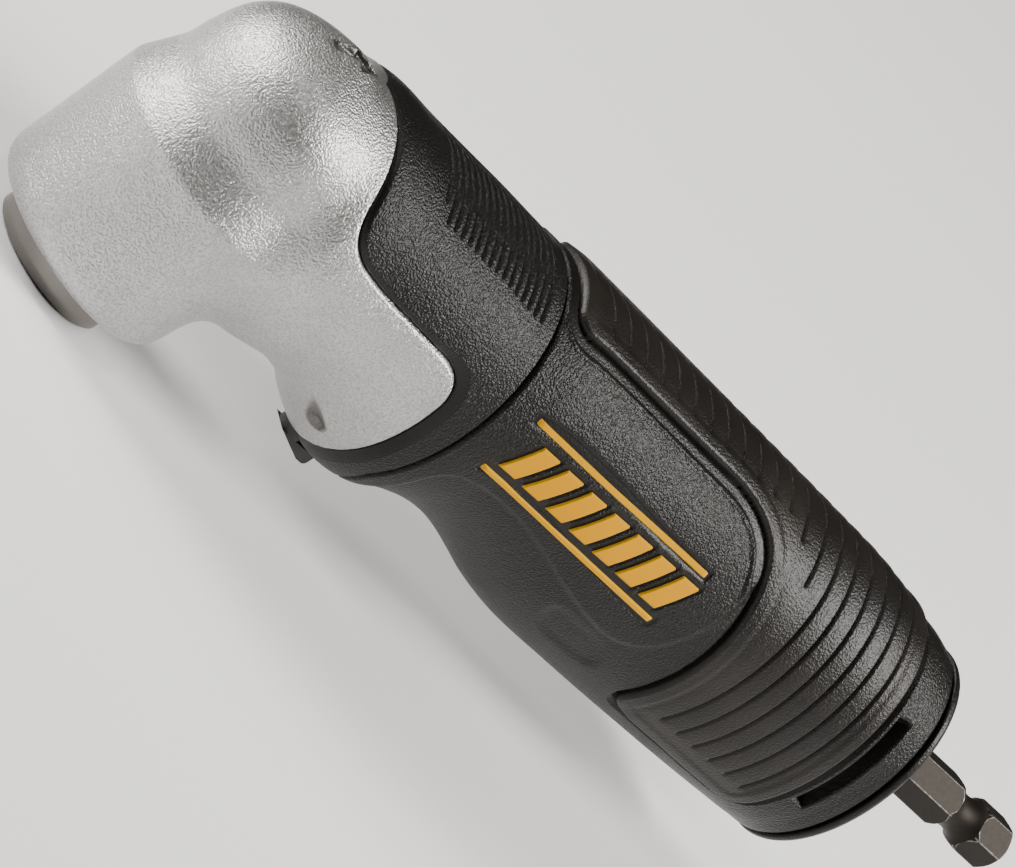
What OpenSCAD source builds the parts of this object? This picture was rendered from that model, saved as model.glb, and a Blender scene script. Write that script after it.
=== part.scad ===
// Right angle drill attachment: a hex shank turns a bevel gear pair, and the
// gears turn a magnetic bit socket that points square to the shank.
// X runs along the drive axis towards the shank, Z is the output axis, and
// the origin is the mouth of the bit socket.

/* [Layout] */
// Height of the drive axis over the mouth of the bit socket
drive_z = 26.8; // [26:0.2:29]
// Distance from the output axis to the joint of collar and handle
seam_x = 43.8; // [43:0.2:46]
// Distance from the output axis to the tail end of the handle
tail_x = 133; // [128:1:142]
// Distance from the output axis to the tip of the hex shank
shank_tip_x = 159.8; // [156:0.2:176]

/* [Handle outline] */
// Reference half height of the handle and collar
body_h = 19; // [18.6:0.2:21]
// Reference half width of the handle and collar
body_w = 16.4; // [16.2:0.1:18]
// Thickness of the soft grip
grip_t = 1.5; // [1:0.1:1.6]
// Depth of the grooves across the grip
groove_depth = 0.7; // [0.4:0.1:0.9]

/* [Gear head] */
// How far the barrel's shoulder stays inside the half width of the body
shoulder_inset = 1; // [0.6:0.1:1.4]
// Taper of the nose from the shoulder to its end, on the radius
nose_taper = 1; // [0.6:0.1:1.4]
// Step of the barrel over the shoulder, on the radius
shoulder_step = 1.8; // [1.4:0.1:2]
// Wall of the barrel round the crown gear
head_wall = 1.9; // [1.6:0.1:2.2]
// How far the spindle stands out of the nose
spindle_proud = 3.6; // [3:0.1:4]

/* [Gears] */
// Teeth on the pinion
pinion_teeth = 12;
// Teeth on the crown gear
crown_teeth = 16;
// Rim of the crown gear outside its pitch circle
crown_rim = 1; // [0.8:0.1:1.2]
// Sideways play between meshing teeth
tooth_play = 0.2; // [0.12:0.02:0.24]

/* [Drive standards] */
// Width across flats of the hex shank
shank_af = 6.35;
// Width across flats of the bit socket
socket_af = 6.45; // [6.4:0.01:6.5]
// Depth of the bit socket
socket_depth = 13.2; // [12:0.2:13.4]
// Turn of the shank's flats at rest
shank_turn_deg = 20; // [0:5:55]

/* [Hidden] */

// Facets of true round parts, and of the lofted shells
fn_round = 96;
loft_sides = 40;
// Clearances: running fit, sliding fit, free gap, and overrun of every cut
run_gap = 0.05;
slide_gap = 0.1;
free_gap = 0.3;
cut = 1;

// Sections of the collar and handle from the output axis to the tail, as
// shares of tail_x, body_h, body_h and body_w: place, top, bottom, half width
body_shares = [
  [0.000, 0.978, 0.900, 0.800], [0.035, 0.980, 0.900, 0.901],
  [0.078, 1.000, 0.905, 0.980], [0.127, 0.980, 0.895, 0.985],
  [0.195, 0.961, 0.830, 0.990], [0.244, 0.953, 0.899, 0.990],
  [0.271, 0.945, 0.995, 1.000], [0.296, 0.937, 1.065, 1.000],
  [0.328, 0.932, 1.117, 1.000], [0.354, 0.968, 1.092, 1.000],
  [0.380, 0.984, 1.010, 0.996], [0.404, 0.980, 0.952, 0.987],
  [0.432, 0.973, 0.920, 0.983], [0.459, 0.968, 0.920, 0.979],
  [0.489, 0.963, 0.949, 0.975], [0.519, 0.959, 0.998, 0.967],
  [0.549, 0.955, 1.051, 0.958], [0.587, 0.950, 1.093, 0.946],
  [0.684, 0.930, 1.105, 0.915], [0.782, 0.907, 1.093, 0.883],
  [0.857, 0.882, 1.078, 0.854], [0.921, 0.822, 1.058, 0.818],
  [0.962, 0.787, 1.041, 0.792], [0.988, 0.732, 1.018, 0.764],
  [0.996, 0.700, 0.990, 0.735], [1.000, 0.655, 0.940, 0.690]];

// Barrel of the head
shoulder_r = body_w - shoulder_inset;
nose_r = shoulder_r - nose_taper;
dome_r = shoulder_r - shoulder_step;
dome_drop = 0.1;
dome_h = body_h - dome_drop;
// Profile of the dome over its base, as shares of its radius and its height
dome_shares = [
  [1.000, 0.000], [1.000, 0.131], [0.986, 0.261], [0.964, 0.390],
  [0.919, 0.513], [0.846, 0.622], [0.752, 0.713], [0.646, 0.783],
  [0.534, 0.840], [0.419, 0.889], [0.301, 0.932], [0.175, 0.975],
  [0.080, 0.995], [0.000, 1.000]];
gear_room_gap = 0.7;
gear_room_r = dome_r - head_wall;
crown_r = gear_room_r - gear_room_gap;
crown_pitch_r = crown_r - crown_rim;

// Nose and spindle heights, all from the drive axis
mouth_z = -drive_z;
nose_z = mouth_z + spindle_proud;
nose_round = 3;
shoulder_z = -3.2;
shoulder_top_z = 2.2;
shoulder_round = 1;
nose_bore_r = 9.5;
flange_r = nose_bore_r - free_gap;
flange_round = 0.4;
flange_len = 4;
flange_top_z = mouth_z + flange_len;
seal_t = 1.1;
seal_z = flange_top_z + free_gap / 2;
clip_t = 0.9;
out_clip_z = seal_z + seal_t + free_gap / 2;
out_bearing_z = out_clip_z + clip_t;
out_bearing_w = 4;
out_bearing_top_z = out_bearing_z + out_bearing_w;
spindle_shoulder_r = 6.9;
seal_lip_gap = 0.1;

// Tube of the casting that carries the pinion inside the collar
collar_side_wall = 1.8;
collar_top_wall = 4.4;
neck_wall = 1.7;
spigot_r = min(body_w - collar_side_wall, body_h - collar_top_wall);
neck_bore_r = spigot_r - neck_wall;

// Bearings: bore radius, outer radius, width and number of balls
out_bearing_bore_r = 6;
out_bearing_outer_r = 9;
out_bearing = [out_bearing_bore_r, out_bearing_outer_r, out_bearing_w, 13];
pinion_bearing_bore_r = 5;
carrier_wall = 3.4;
pinion_bearing_outer_r = neck_bore_r - carrier_wall;
pinion_bearing_w = 5;
pinion_bearing = [pinion_bearing_bore_r, pinion_bearing_outer_r, pinion_bearing_w, 11];
rear_bearing_bore_r = 4;
rear_bearing_depth = 4;
rear_bearing_outer_r = rear_bearing_bore_r + rear_bearing_depth;
rear_bearing_w = 5;
rear_bearing = [rear_bearing_bore_r, rear_bearing_outer_r, rear_bearing_w, 10];
// Ball radius as a share of the half depth of the bearing, and the lands and
// the cage as shares of the ball radius
ball_share = 0.58;
land_share = 0.55;
cage_share = 0.28;
cage_width_share = 0.62;
race_gap = 0.03;
pocket_gap = 0.06;

// Bevel gears: the apex of both pitch cones is where the two axes cross
pinion_pitch_r = crown_pitch_r * pinion_teeth / crown_teeth;
face_share = 0.66;
module_mm = 2 * crown_pitch_r / crown_teeth;
addendum_share = 0.74;
dedendum_share = 1.02;
addendum = addendum_share * module_mm;
dedendum = dedendum_share * module_mm;
// Cone distance of the gear pair
crown_hypot = sqrt(pow(crown_pitch_r, 2) + pow(pinion_pitch_r, 2));
pressure_deg = 20;
crown_back_z = -12;
crown_start_share = 1.4;
crown_hub_r = 7.4;
pinion_back_share = 1.04;
pinion_hub_r = 6.2;

// Spindle over its bearing
gear_seat_r = 5;
gear_flat_y = 4.4;
gear_seat_gap = 0.02;
gear_seat_top_z = -3.4;
spindle_clip_z = -pinion_pitch_r * face_share + run_gap;
spindle_top_r = 4;
clip_groove = 0.5;
magnet_r = 2.5;
magnet_t = 2.4;
hole_chamfer = 0.5;

// Cavities of the gear head
gear_room_z = -13;
gear_room_top_z = 7.6;
pinion_room_gap = 0.6;
pinion_room_r = pinion_back_share * (pinion_pitch_r + addendum * crown_hypot / crown_pitch_r)
  + pinion_room_gap;
bush_z = pinion_room_r + slide_gap;
bush_len = 5.4;
bush_wall = 2;
bush_end_room = 0.8;
bush_end_z = bush_z + bush_len + bush_end_room;
spindle_top_gap = 0.5;
spindle_top_z = bush_z + bush_len - spindle_top_gap;
race_step_r = 8.2;
gear_way_step = 0.5;
gear_way_r = neck_bore_r - gear_way_step;
neck_step_x = gear_room_r + gear_room_gap;
ring_groove = 0.5;

// Boundary of the bright casting on the side: the casting covers the barrel
// and a lobe that runs back under the drive axis
lobe_top_x = 7;
lobe_side_x = 8.6;
lobe_high_share = 0.684;
lobe_low_share = 0.274;
lobe_corner_share = 0.158;
lobe_bottom_share = 0.895;
lobe_high_z = body_h * lobe_high_share;
lobe_low_z = body_h * lobe_low_share;
lobe_corner_z = body_h * lobe_corner_share;
collar_band = 6;
lobe_end_x = seam_x - collar_band;
lobe_corner = 3.2;
lobe_flare = 1.6;
lobe_bottom_x = lobe_end_x + lobe_flare;
lobe_bottom_z = -body_h * lobe_bottom_share;
spigot_setback = 1.8;
spigot_end_x = lobe_end_x - spigot_setback;
joint_gap = 0.15;
// The joint of collar and handle runs back under the body
seam_bend_share = 0.632;
seam_mid_share = 0.99;
seam_low_share = 1.105;
seam_mid_sweep = 2;
seam_low_sweep = 5;
seam_bend_z = -body_h * seam_bend_share;
seam_mid_x = seam_x + seam_mid_sweep;
seam_mid_z = -body_h * seam_mid_share;
seam_low_x = seam_x + seam_low_sweep;
seam_low_z = -body_h * seam_low_share;

// Pinion and its carrier
carrier_x = neck_step_x;
carrier_lip_t = 2;
carrier_lip_r = 8.4;
pinion_bearing_x = carrier_x + carrier_lip_t;
pinion_bearing_end = pinion_bearing_x + pinion_bearing[2];
carrier_tail = 4;
carrier_end_x = pinion_bearing_end + carrier_tail;
carrier_clip_t = 1.2;
shaft_clip_t = 0.8;
hex_fit = 0.06;
hex_engage = 11;
pinion_core = 1.6;
coupling_hex_x = pinion_bearing_end + pinion_core;
pinion_shaft_end = coupling_hex_x + hex_engage;

// Coupling tube, bushes and the input shaft
tube_front_x = carrier_end_x + carrier_clip_t + free_gap;
tube_flange_r = neck_bore_r - slide_gap;
tube_seat = 3.2;
tube_flange_end = seam_x + tube_seat;
tube_wall = 1.4;
tube_r = rear_bearing_outer_r + tube_wall;
tube_step = 0.5;
tube_bore_r = rear_bearing_outer_r - tube_step;
tail_room = 10.5;
tube_end_x = tail_x - tail_room;
bush_setback = 2;
front_bush_x = pinion_shaft_end + bush_setback;
front_bush_len = 8;
shaft_step = 0.5;
shaft_r = rear_bearing_bore_r + shaft_step;
rear_seat_depth = 8;
rear_bearing_x = tube_end_x - rear_seat_depth;
rear_bearing_end = rear_bearing_x + rear_bearing[2];
tail_seal_t = 1.4;
round_overhang = 1;
shank_round_end = tube_end_x + round_overhang;
tip_bevel_len = 1.4;
tip_bevel_r = 1.6;
groove_from_tip = 8.4;
groove_x = shank_tip_x - groove_from_tip;
groove_len = 5.2;
groove_neck_r = 2.45;
spring_wire_r = 0.25;

// Latch button under the collar
latch_r = 2;
latch_pin_r = 1.45;
latch_neck_r = 1;
latch_proud = 2.2;
latch_low_z = seam_low_z - latch_proud;
latch_round = 0.6;
latch_flange_r = 2.5;
latch_x = lobe_bottom_x + latch_flange_r + free_gap;
// Tab of the button: it runs back from the stem in a pocket under the collar,
// and its face slopes down towards the rear
tab_half_w = 1.8;
tab_reach = 3;
tab_x = latch_x + tab_reach;
tab_flat = 1.5;
tab_end_x = tab_x + tab_flat;
tab_t = 1.6;
tab_top_z = latch_low_z + tab_t;
latch_flange_t = 0.8;
latch_cover = 2.6;
latch_stop_z = seam_low_z + latch_cover;
latch_travel = 1.2;
latch_shelf_t = 1.2;
latch_tip_len = 1;
latch_tip_z = -tube_flange_r + latch_shelf_t + latch_tip_len;
latch_room_z = latch_tip_z + latch_travel + free_gap;
tab_pocket_z = tab_top_z + latch_travel + slide_gap;
spring_turns = 3.5;
spring_r = latch_pin_r + spring_wire_r + slide_gap;

// Tail
tail_cap_len = 1.8;
tail_joint_x = tail_x - tail_cap_len;
slot_setback = 6.7;
slot_x = tail_joint_x - slot_setback;
slot_w = 2.2;
slot_share = 0.42;
slot_h = body_h * slot_share;
plug_x = tube_end_x + free_gap;
tail_wall = 2.5;
plug_r = body_w * lookup(slot_x / tail_x, [for (s = body_shares) [s[0], s[3]]]) - tail_wall;
tab_rise = 1;
tab_depth_r = plug_r + tab_rise;
tail_hole_gap = 0.8;
tail_hole_r = rear_bearing_bore_r + tail_hole_gap;
plug_wall = 3.2;
plug_bore_r = plug_r - plug_wall;

// Soft grip outline on the side: it covers the top, and the whole side aft
grip_setback = 2.6;
grip_front_x = seam_x + grip_setback;
grip_top_share = 0.805;
grip_low_share = 0.838;
grip_step_share = 0.7225;
grip_top_z = body_h * grip_top_share;
grip_step_x = tail_x * grip_step_share;
grip_low_z = -body_h * grip_low_share;
slot_band = 1.7;
grip_rear_x = slot_x - slot_band;
grip_corner = 3;
grip_step_corner = 8;
// Channel in the handle round the edge of the grip
channel_w = 0.9;
// Grooves across the grip: the rear ones run down its side, the front ones
// stay on its top
groove_w = 0.8;
groove_pitch = 3.5;
groove_count = 20;
groove_setback = 4;
long_grooves = 6;
groove_low_share = 0.63;
groove_high_share = 0.88;

// Side label
label_setback = 8;
label_x = seam_x + label_setback;
label_len = 32;
label_h = 8;
label_drop = 2;
label_t = 0.3;

// Moves a shape built around the drive axis into the frame of the part
module at_drive() translate([0, 0, drive_z]) children();
// Turns a shape built along Z so that it lies along the drive axis
module along_x(x = 0) translate([x, 0, 0]) rotate([0, 90, 0]) children();

module ring(outer_r, inner_r, length)
  difference() {
    cylinder(r = outer_r, h = length, $fn = fn_round);
    translate([0, 0, -cut]) cylinder(r = inner_r, h = length + 2 * cut, $fn = fn_round);
  }

module hex_bar(across_flats, length)
  cylinder(d = across_flats / cos(30), h = length, $fn = 6);

// A split retaining ring
module snap_ring(outer_r, inner_r, length, gap)
  difference() {
    ring(outer_r, inner_r, length);
    translate([0, -gap / 2, -cut]) cube([outer_r + cut, gap, length + 2 * cut]);
  }

// Section sizes at a place along the body
function body_at(x, column) = lookup(x / tail_x, [for (s = body_shares) [s[0], s[column]]]);
function body_stations(x0, x1) = concat([x0],
  [for (s = body_shares) if (s[0] * tail_x > x0 + cut / 2 && s[0] * tail_x < x1 - cut / 2)
    s[0] * tail_x], [x1]);
function body_ring(x, grow) =
  let (top = body_at(x, 1) * body_h, low = body_at(x, 2) * body_h,
       half_y = body_at(x, 3) * body_w + grow, half_z = (top + low) / 2 + grow)
  [for (i = [0:loft_sides - 1]) let (a = 360 * i / loft_sides)
    [x, half_y * cos(a), (top - low) / 2 + half_z * sin(a)]];

// Smooth oval body between two places along the drive axis
module body_loft(x0, x1, grow = 0) {
  xs = body_stations(x0, x1);
  n = loft_sides;
  last = (len(xs) - 1) * n;
  points = [for (x = xs) each body_ring(x, grow)];
  sides = [for (k = [0:len(xs) - 2]) each [for (i = [0:n - 1]) let (j = (i + 1) % n)
    each [[k * n + j, k * n + i, (k + 1) * n + i],
          [(k + 1) * n + j, k * n + j, (k + 1) * n + i]]]];
  front = [for (i = [1:n - 2]) [0, i, i + 1]];
  back = [for (i = [1:n - 2]) [last, last + i + 1, last + i]];
  polyhedron(concat([each points]), concat(sides, front, back));
}

// Extrudes a side view outline right across the body
module across(half_width = 2 * body_w)
  rotate([90, 0, 0]) translate([0, 0, -half_width])
    linear_extrude(height = 2 * half_width) children();

// Side view of the casting, grown by a gap for the collar's edge
module casting_outline(gap = 0)
  offset(delta = gap) offset(r = -lobe_corner, $fn = 32) offset(r = lobe_corner, $fn = 32)
  offset(r = lobe_corner, $fn = 32) offset(r = -lobe_corner, $fn = 32)
    polygon([
      [-2 * body_w, -2 * body_h], [-2 * body_w, 2 * body_h], [lobe_top_x, 2 * body_h],
      [lobe_top_x, lobe_high_z + lobe_corner], [lobe_side_x, lobe_high_z],
      [lobe_side_x, lobe_low_z + lobe_corner], [lobe_side_x + lobe_corner, lobe_low_z],
      [lobe_end_x - lobe_corner, lobe_corner_z], [lobe_end_x, lobe_corner_z - lobe_corner],
      [lobe_end_x, lobe_bottom_z], [lobe_bottom_x, lobe_bottom_z - lobe_corner],
      [lobe_bottom_x, -2 * body_h]]);

// Side view of everything ahead of the joint between collar and handle
module seam_outline(shift = 0)
  translate([shift, 0])
    polygon([
      [-2 * body_w, -2 * body_h], [-2 * body_w, 2 * body_h], [seam_x, 2 * body_h],
      [seam_x, seam_bend_z], [seam_mid_x, seam_mid_z], [seam_low_x, seam_low_z],
      [seam_low_x, -2 * body_h]]);

// Side view of the soft grip
module grip_outline()
  offset(r = -grip_step_corner, $fn = 48) offset(r = grip_step_corner, $fn = 48)
  offset(r = grip_corner, $fn = 24) offset(r = -grip_corner, $fn = 24)
    polygon([
      [grip_front_x, 2 * body_h], [grip_front_x, grip_top_z], [grip_step_x, grip_top_z],
      [grip_step_x, grip_low_z], [grip_rear_x, grip_low_z], [grip_rear_x, 2 * body_h]]);

// Keeps a part of the body away from the room of the latch
module latch_hole(r, z0, z1)
  translate([latch_x, 0, z0]) cylinder(r = r, h = z1 - z0, $fn = fn_round);

// Outline of the barrel from the nose up to the top of the dome
module barrel_outline() {
  dome_base_z = shoulder_top_z + shoulder_round;
  polygon(concat(
    [[0, nose_z]],
    [for (a = [0:15:90]) [nose_r - nose_round + nose_round * sin(a),
      nose_z + nose_round - nose_round * cos(a)]],
    [for (a = [0:30:90]) [shoulder_r - shoulder_round + shoulder_round * cos(a),
      shoulder_z - shoulder_round + shoulder_round * sin(a)]],
    [[dome_r, shoulder_top_z]],
    [for (s = dome_shares) [dome_r * s[0], dome_base_z + (dome_h - dome_base_z) * s[1]]]));
}

module gear_head() color("silver") at_drive() {
  difference() {
    union() {
      intersection() {
        union() {
          rotate_extrude($fn = fn_round) barrel_outline();
          body_loft(0, lobe_bottom_x + cut);
        }
        across() casting_outline();
      }
      along_x(0) cylinder(r = spigot_r, h = spigot_end_x, $fn = fn_round);
    }
    translate([0, 0, nose_z - cut])
      cylinder(r = nose_bore_r, h = out_clip_z - nose_z + cut, $fn = fn_round);
    translate([0, 0, out_clip_z - cut])
      cylinder(r = out_bearing[1], h = out_bearing_top_z - out_clip_z + cut, $fn = fn_round);
    translate([0, 0, out_clip_z])
      cylinder(r = out_bearing[1] + clip_groove, h = clip_t, $fn = fn_round);
    translate([0, 0, out_bearing_top_z - cut])
      cylinder(r = race_step_r, h = gear_room_z - out_bearing_top_z + 2 * cut, $fn = fn_round);
    translate([0, 0, gear_room_z])
      cylinder(r = gear_room_r, h = gear_room_top_z - gear_room_z, $fn = fn_round);
    translate([0, 0, gear_room_top_z - cut])
      cylinder(r = spindle_top_r + bush_wall, h = bush_end_z - gear_room_top_z + cut,
        $fn = fn_round);
    intersection() {
      along_x(0) cylinder(r = gear_way_r, h = neck_step_x + cut, $fn = fn_round);
      translate([-cut, -neck_bore_r, gear_room_z])
        cube([neck_step_x + 2 * cut, 2 * neck_bore_r, gear_room_top_z - gear_room_z]);
    }
    along_x(0) cylinder(r = pinion_room_r, h = neck_step_x + cut, $fn = fn_round);
    along_x(neck_step_x)
      cylinder(r = neck_bore_r, h = spigot_end_x - neck_step_x + 2 * lobe_corner, $fn = fn_round);
    along_x(carrier_end_x)
      cylinder(r = neck_bore_r + ring_groove, h = carrier_clip_t, $fn = fn_round);
    along_x(spigot_end_x)
      cylinder(r = spigot_r + slide_gap, h = 2 * lobe_corner, $fn = fn_round);
  }
}

module nose_seal() color("#1a1a1a") at_drive()
  translate([0, 0, seal_z]) ring(nose_bore_r, spindle_shoulder_r + seal_lip_gap, seal_t);

module output_bearing_clip() color("#3c3c40") at_drive()
  translate([0, 0, out_clip_z])
    snap_ring(out_bearing[1] + clip_groove - run_gap, out_bearing[1] - clip_t, clip_t, clip_t * 2);

// Bearing parts, lying on Z from zero up: [bore, outer, width, balls]
function ball_r(b) = ball_share * (b[1] - b[0]) / 2;
function ball_pitch(b) = (b[0] + b[1]) / 2;
module race_groove(b)
  translate([0, 0, b[2] / 2]) rotate_extrude($fn = fn_round)
    translate([ball_pitch(b), 0]) circle(r = ball_r(b) + race_gap, $fn = 48);
module outer_race(b) difference() {
  ring(b[1], ball_pitch(b) + land_share * ball_r(b), b[2]);
  race_groove(b);
}
module inner_race(b) difference() {
  ring(ball_pitch(b) - land_share * ball_r(b), b[0], b[2]);
  race_groove(b);
}
module balls(b)
  for (i = [0:b[3] - 1]) rotate([0, 0, 360 * i / b[3]])
    translate([ball_pitch(b), 0, b[2] / 2]) sphere(r = ball_r(b), $fn = 32);
module ball_cage(b) difference() {
  translate([0, 0, b[2] * (1 - cage_width_share) / 2])
    ring(ball_pitch(b) + cage_share * ball_r(b), ball_pitch(b) - cage_share * ball_r(b),
      b[2] * cage_width_share);
  for (i = [0:b[3] - 1]) rotate([0, 0, 360 * i / b[3]])
    translate([0, 0, b[2] / 2]) along_x(ball_pitch(b) - ball_r(b))
      cylinder(r = ball_r(b) + pocket_gap, h = 2 * ball_r(b), $fn = 32);
}

module at_output_bearing() at_drive() translate([0, 0, out_bearing_z]) children();
module output_outer_race() color("#b8bcc2") at_output_bearing() outer_race(out_bearing);
module output_inner_race() color("#b8bcc2") at_output_bearing() inner_race(out_bearing);
module output_balls() color("#d8dce0") at_output_bearing() balls(out_bearing);
module output_ball_cage() color("#b08d4a") at_output_bearing() ball_cage(out_bearing);

module output_spindle() color("#4a4642") at_drive()
  difference() {
    union() {
      translate([0, 0, mouth_z]) rotate_extrude($fn = fn_round)
        polygon([[0, 0], [flange_r - flange_round, 0], [flange_r, flange_round],
          [flange_r, flange_top_z - mouth_z], [0, flange_top_z - mouth_z]]);
      translate([0, 0, flange_top_z - cut])
        cylinder(r = spindle_shoulder_r, h = out_bearing_z - flange_top_z + cut, $fn = fn_round);
      translate([0, 0, out_bearing_z - cut])
        cylinder(r = out_bearing[0], h = out_bearing_w + cut, $fn = fn_round);
      intersection() {
        translate([0, 0, out_bearing_top_z - cut])
          cylinder(r = gear_seat_r, h = gear_seat_top_z - out_bearing_top_z + cut, $fn = fn_round);
        translate([-gear_seat_r, -gear_flat_y, out_bearing_top_z - cut])
          cube([2 * gear_seat_r, 2 * gear_flat_y, gear_seat_top_z - out_bearing_top_z + cut]);
      }
      translate([0, 0, gear_seat_top_z - cut])
        cylinder(r = spindle_top_r, h = spindle_top_z - gear_seat_top_z + cut, $fn = fn_round);
    }
    translate([0, 0, mouth_z - cut]) hex_bar(socket_af, socket_depth + cut);
    translate([0, 0, mouth_z - run_gap])
      cylinder(r1 = socket_af / 2 / cos(30) + hole_chamfer, r2 = socket_af / 2,
        h = hole_chamfer * 2, $fn = fn_round);
    translate([0, 0, mouth_z + socket_depth - run_gap])
      cylinder(r = magnet_r, h = magnet_t + run_gap, $fn = fn_round);
    translate([0, 0, spindle_clip_z])
      ring(gear_seat_r + cut, gear_seat_r - clip_groove * 2, shaft_clip_t + run_gap);
  }

module bit_magnet() color("#c9cdd2") at_drive()
  translate([0, 0, mouth_z + socket_depth]) cylinder(r = magnet_r, h = magnet_t, $fn = fn_round);

// A tooth outline at a pitch radius; the ends are long enough to seat in the
// root circle, and slope is how much of a radial step counts as tooth depth
module teeth_outline(count, pitch_r, slope) {
  tip = addendum / slope;
  root = dedendum / slope;
  half = PI * pitch_r / count / 2 - tooth_play / 2;
  flank = tan(pressure_deg) * slope;
  circle(r = pitch_r - root, $fn = fn_round);
  for (i = [0:count - 1]) rotate([0, 0, 360 * i / count])
    polygon([
      [pitch_r - root - module_mm / 2, -half - root * flank],
      [pitch_r - root, -half - root * flank], [pitch_r, -half],
      [pitch_r + tip, -half + tip * flank], [pitch_r + tip, half - tip * flank],
      [pitch_r, half], [pitch_r - root, half + root * flank],
      [pitch_r - root - module_mm / 2, half + root * flank]]);
}

module crown_gear() color("#8f8a80") at_drive() {
  pitch_h = pinion_pitch_r;
  start_z = -pitch_h * crown_start_share;
  end_z = -pitch_h * face_share;
  cone = atan2(crown_pitch_r, pitch_h);
  difference() {
    union() {
      intersection() {
        translate([0, 0, start_z])
          linear_extrude(height = end_z - start_z, scale = face_share / crown_start_share)
            scale(crown_start_share) teeth_outline(crown_teeth, crown_pitch_r, cos(cone));
        translate([0, 0, crown_back_z]) cylinder(r = crown_r, h = -crown_back_z, $fn = fn_round);
      }
      translate([0, 0, crown_back_z])
        cylinder(r = crown_r, h = start_z - crown_back_z + run_gap, $fn = fn_round);
      translate([0, 0, out_bearing_top_z])
        cylinder(r = crown_hub_r, h = start_z - out_bearing_top_z, $fn = fn_round);
    }
    intersection() {
      translate([0, 0, out_bearing_top_z - cut])
        cylinder(r = gear_seat_r + gear_seat_gap, h = -out_bearing_top_z, $fn = fn_round);
      translate([-gear_seat_r - cut, -gear_flat_y - gear_seat_gap, out_bearing_top_z - cut])
        cube([2 * gear_seat_r + 2 * cut, 2 * (gear_flat_y + gear_seat_gap), -out_bearing_top_z]);
    }
  }
}

module spindle_clip() color("#3c3c40") at_drive()
  translate([0, 0, spindle_clip_z])
    snap_ring(gear_seat_r + clip_t, gear_seat_r - clip_groove * 2 + run_gap, shaft_clip_t,
      shaft_clip_t * 2);

module spindle_top_bush() color("#b5854a") at_drive()
  translate([0, 0, bush_z])
    ring(spindle_top_r + bush_wall, spindle_top_r + run_gap, bush_len);

module pinion_shaft() color("#8f8a80") at_drive() {
  cone = atan2(pinion_pitch_r, crown_pitch_r);
  start_x = crown_pitch_r * pinion_back_share;
  end_x = crown_pitch_r * face_share;
  difference() {
    union() {
      translate([start_x, 0, 0]) rotate([0, -90, 0])
        linear_extrude(height = start_x - end_x, scale = face_share / pinion_back_share)
          scale(pinion_back_share) rotate([0, 0, 180 / pinion_teeth])
            teeth_outline(pinion_teeth, pinion_pitch_r, cos(cone));
      along_x(start_x - run_gap)
        cylinder(r = pinion_hub_r, h = pinion_bearing_x - start_x + run_gap, $fn = fn_round);
      along_x(pinion_bearing_x - cut)
        cylinder(r = pinion_bearing[0], h = pinion_shaft_end - pinion_bearing_x + cut,
          $fn = fn_round);
    }
    along_x(coupling_hex_x - hole_chamfer)
      hex_bar(shank_af + hex_fit, pinion_shaft_end - coupling_hex_x + hole_chamfer + cut);
    along_x(pinion_bearing_end)
      ring(pinion_bearing[0] + cut, pinion_bearing[0] - clip_groove, shaft_clip_t + run_gap);
  }
}

module pinion_carrier() color("#9a9ea3") at_drive() along_x(carrier_x)
  difference() {
    cylinder(r = neck_bore_r, h = carrier_end_x - carrier_x, $fn = fn_round);
    translate([0, 0, -cut])
      cylinder(r = carrier_lip_r, h = carrier_end_x - carrier_x + 2 * cut, $fn = fn_round);
    translate([0, 0, carrier_lip_t])
      cylinder(r = pinion_bearing[1], h = carrier_end_x - carrier_x, $fn = fn_round);
    translate([0, 0, carrier_lip_t + pinion_bearing[2]])
      cylinder(r = pinion_bearing[1] + ring_groove, h = clip_t, $fn = fn_round);
  }

module carrier_clip() color("#3c3c40") at_drive() along_x(carrier_end_x)
  snap_ring(neck_bore_r + ring_groove - run_gap, neck_bore_r - clip_t * 2, carrier_clip_t,
    carrier_clip_t * 2);

module pinion_bearing_clip() color("#3c3c40") at_drive() along_x(pinion_bearing_end)
  snap_ring(pinion_bearing[1] + ring_groove - run_gap, pinion_bearing[1] - clip_t, clip_t,
    clip_t * 2);

module pinion_shaft_clip() color("#3c3c40") at_drive() along_x(pinion_bearing_end)
  snap_ring(pinion_bearing[0] + clip_t, pinion_bearing[0] - clip_groove + run_gap, shaft_clip_t,
    shaft_clip_t * 2);

module at_pinion_bearing() at_drive() along_x(pinion_bearing_x) children();
module pinion_outer_race() color("#b8bcc2") at_pinion_bearing() outer_race(pinion_bearing);
module pinion_inner_race() color("#b8bcc2") at_pinion_bearing() inner_race(pinion_bearing);
module pinion_balls() color("#d8dce0") at_pinion_bearing() balls(pinion_bearing);
module pinion_ball_cage() color("#b08d4a") at_pinion_bearing() ball_cage(pinion_bearing);

module collar() color("#2b2928") at_drive()
  difference() {
    intersection() {
      body_loft(lobe_top_x - 2 * cut, seam_low_x + cut);
      across() seam_outline(-joint_gap);
    }
    across() casting_outline(joint_gap);
    along_x(0)
      cylinder(r = spigot_r, h = spigot_end_x + run_gap, $fn = fn_round);
    along_x(spigot_end_x)
      cylinder(r = tube_flange_r + slide_gap, h = seam_low_x, $fn = fn_round);
    latch_hole(latch_r + slide_gap, -2 * body_h, 0);
    translate([latch_x - latch_r - slide_gap, -tab_half_w - slide_gap, -2 * body_h])
      cube([tab_end_x - latch_x + latch_r + 2 * slide_gap, 2 * (tab_half_w + slide_gap),
        2 * body_h + tab_pocket_z]);
    latch_hole(latch_flange_r + slide_gap, latch_stop_z, 0);
  }

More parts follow.
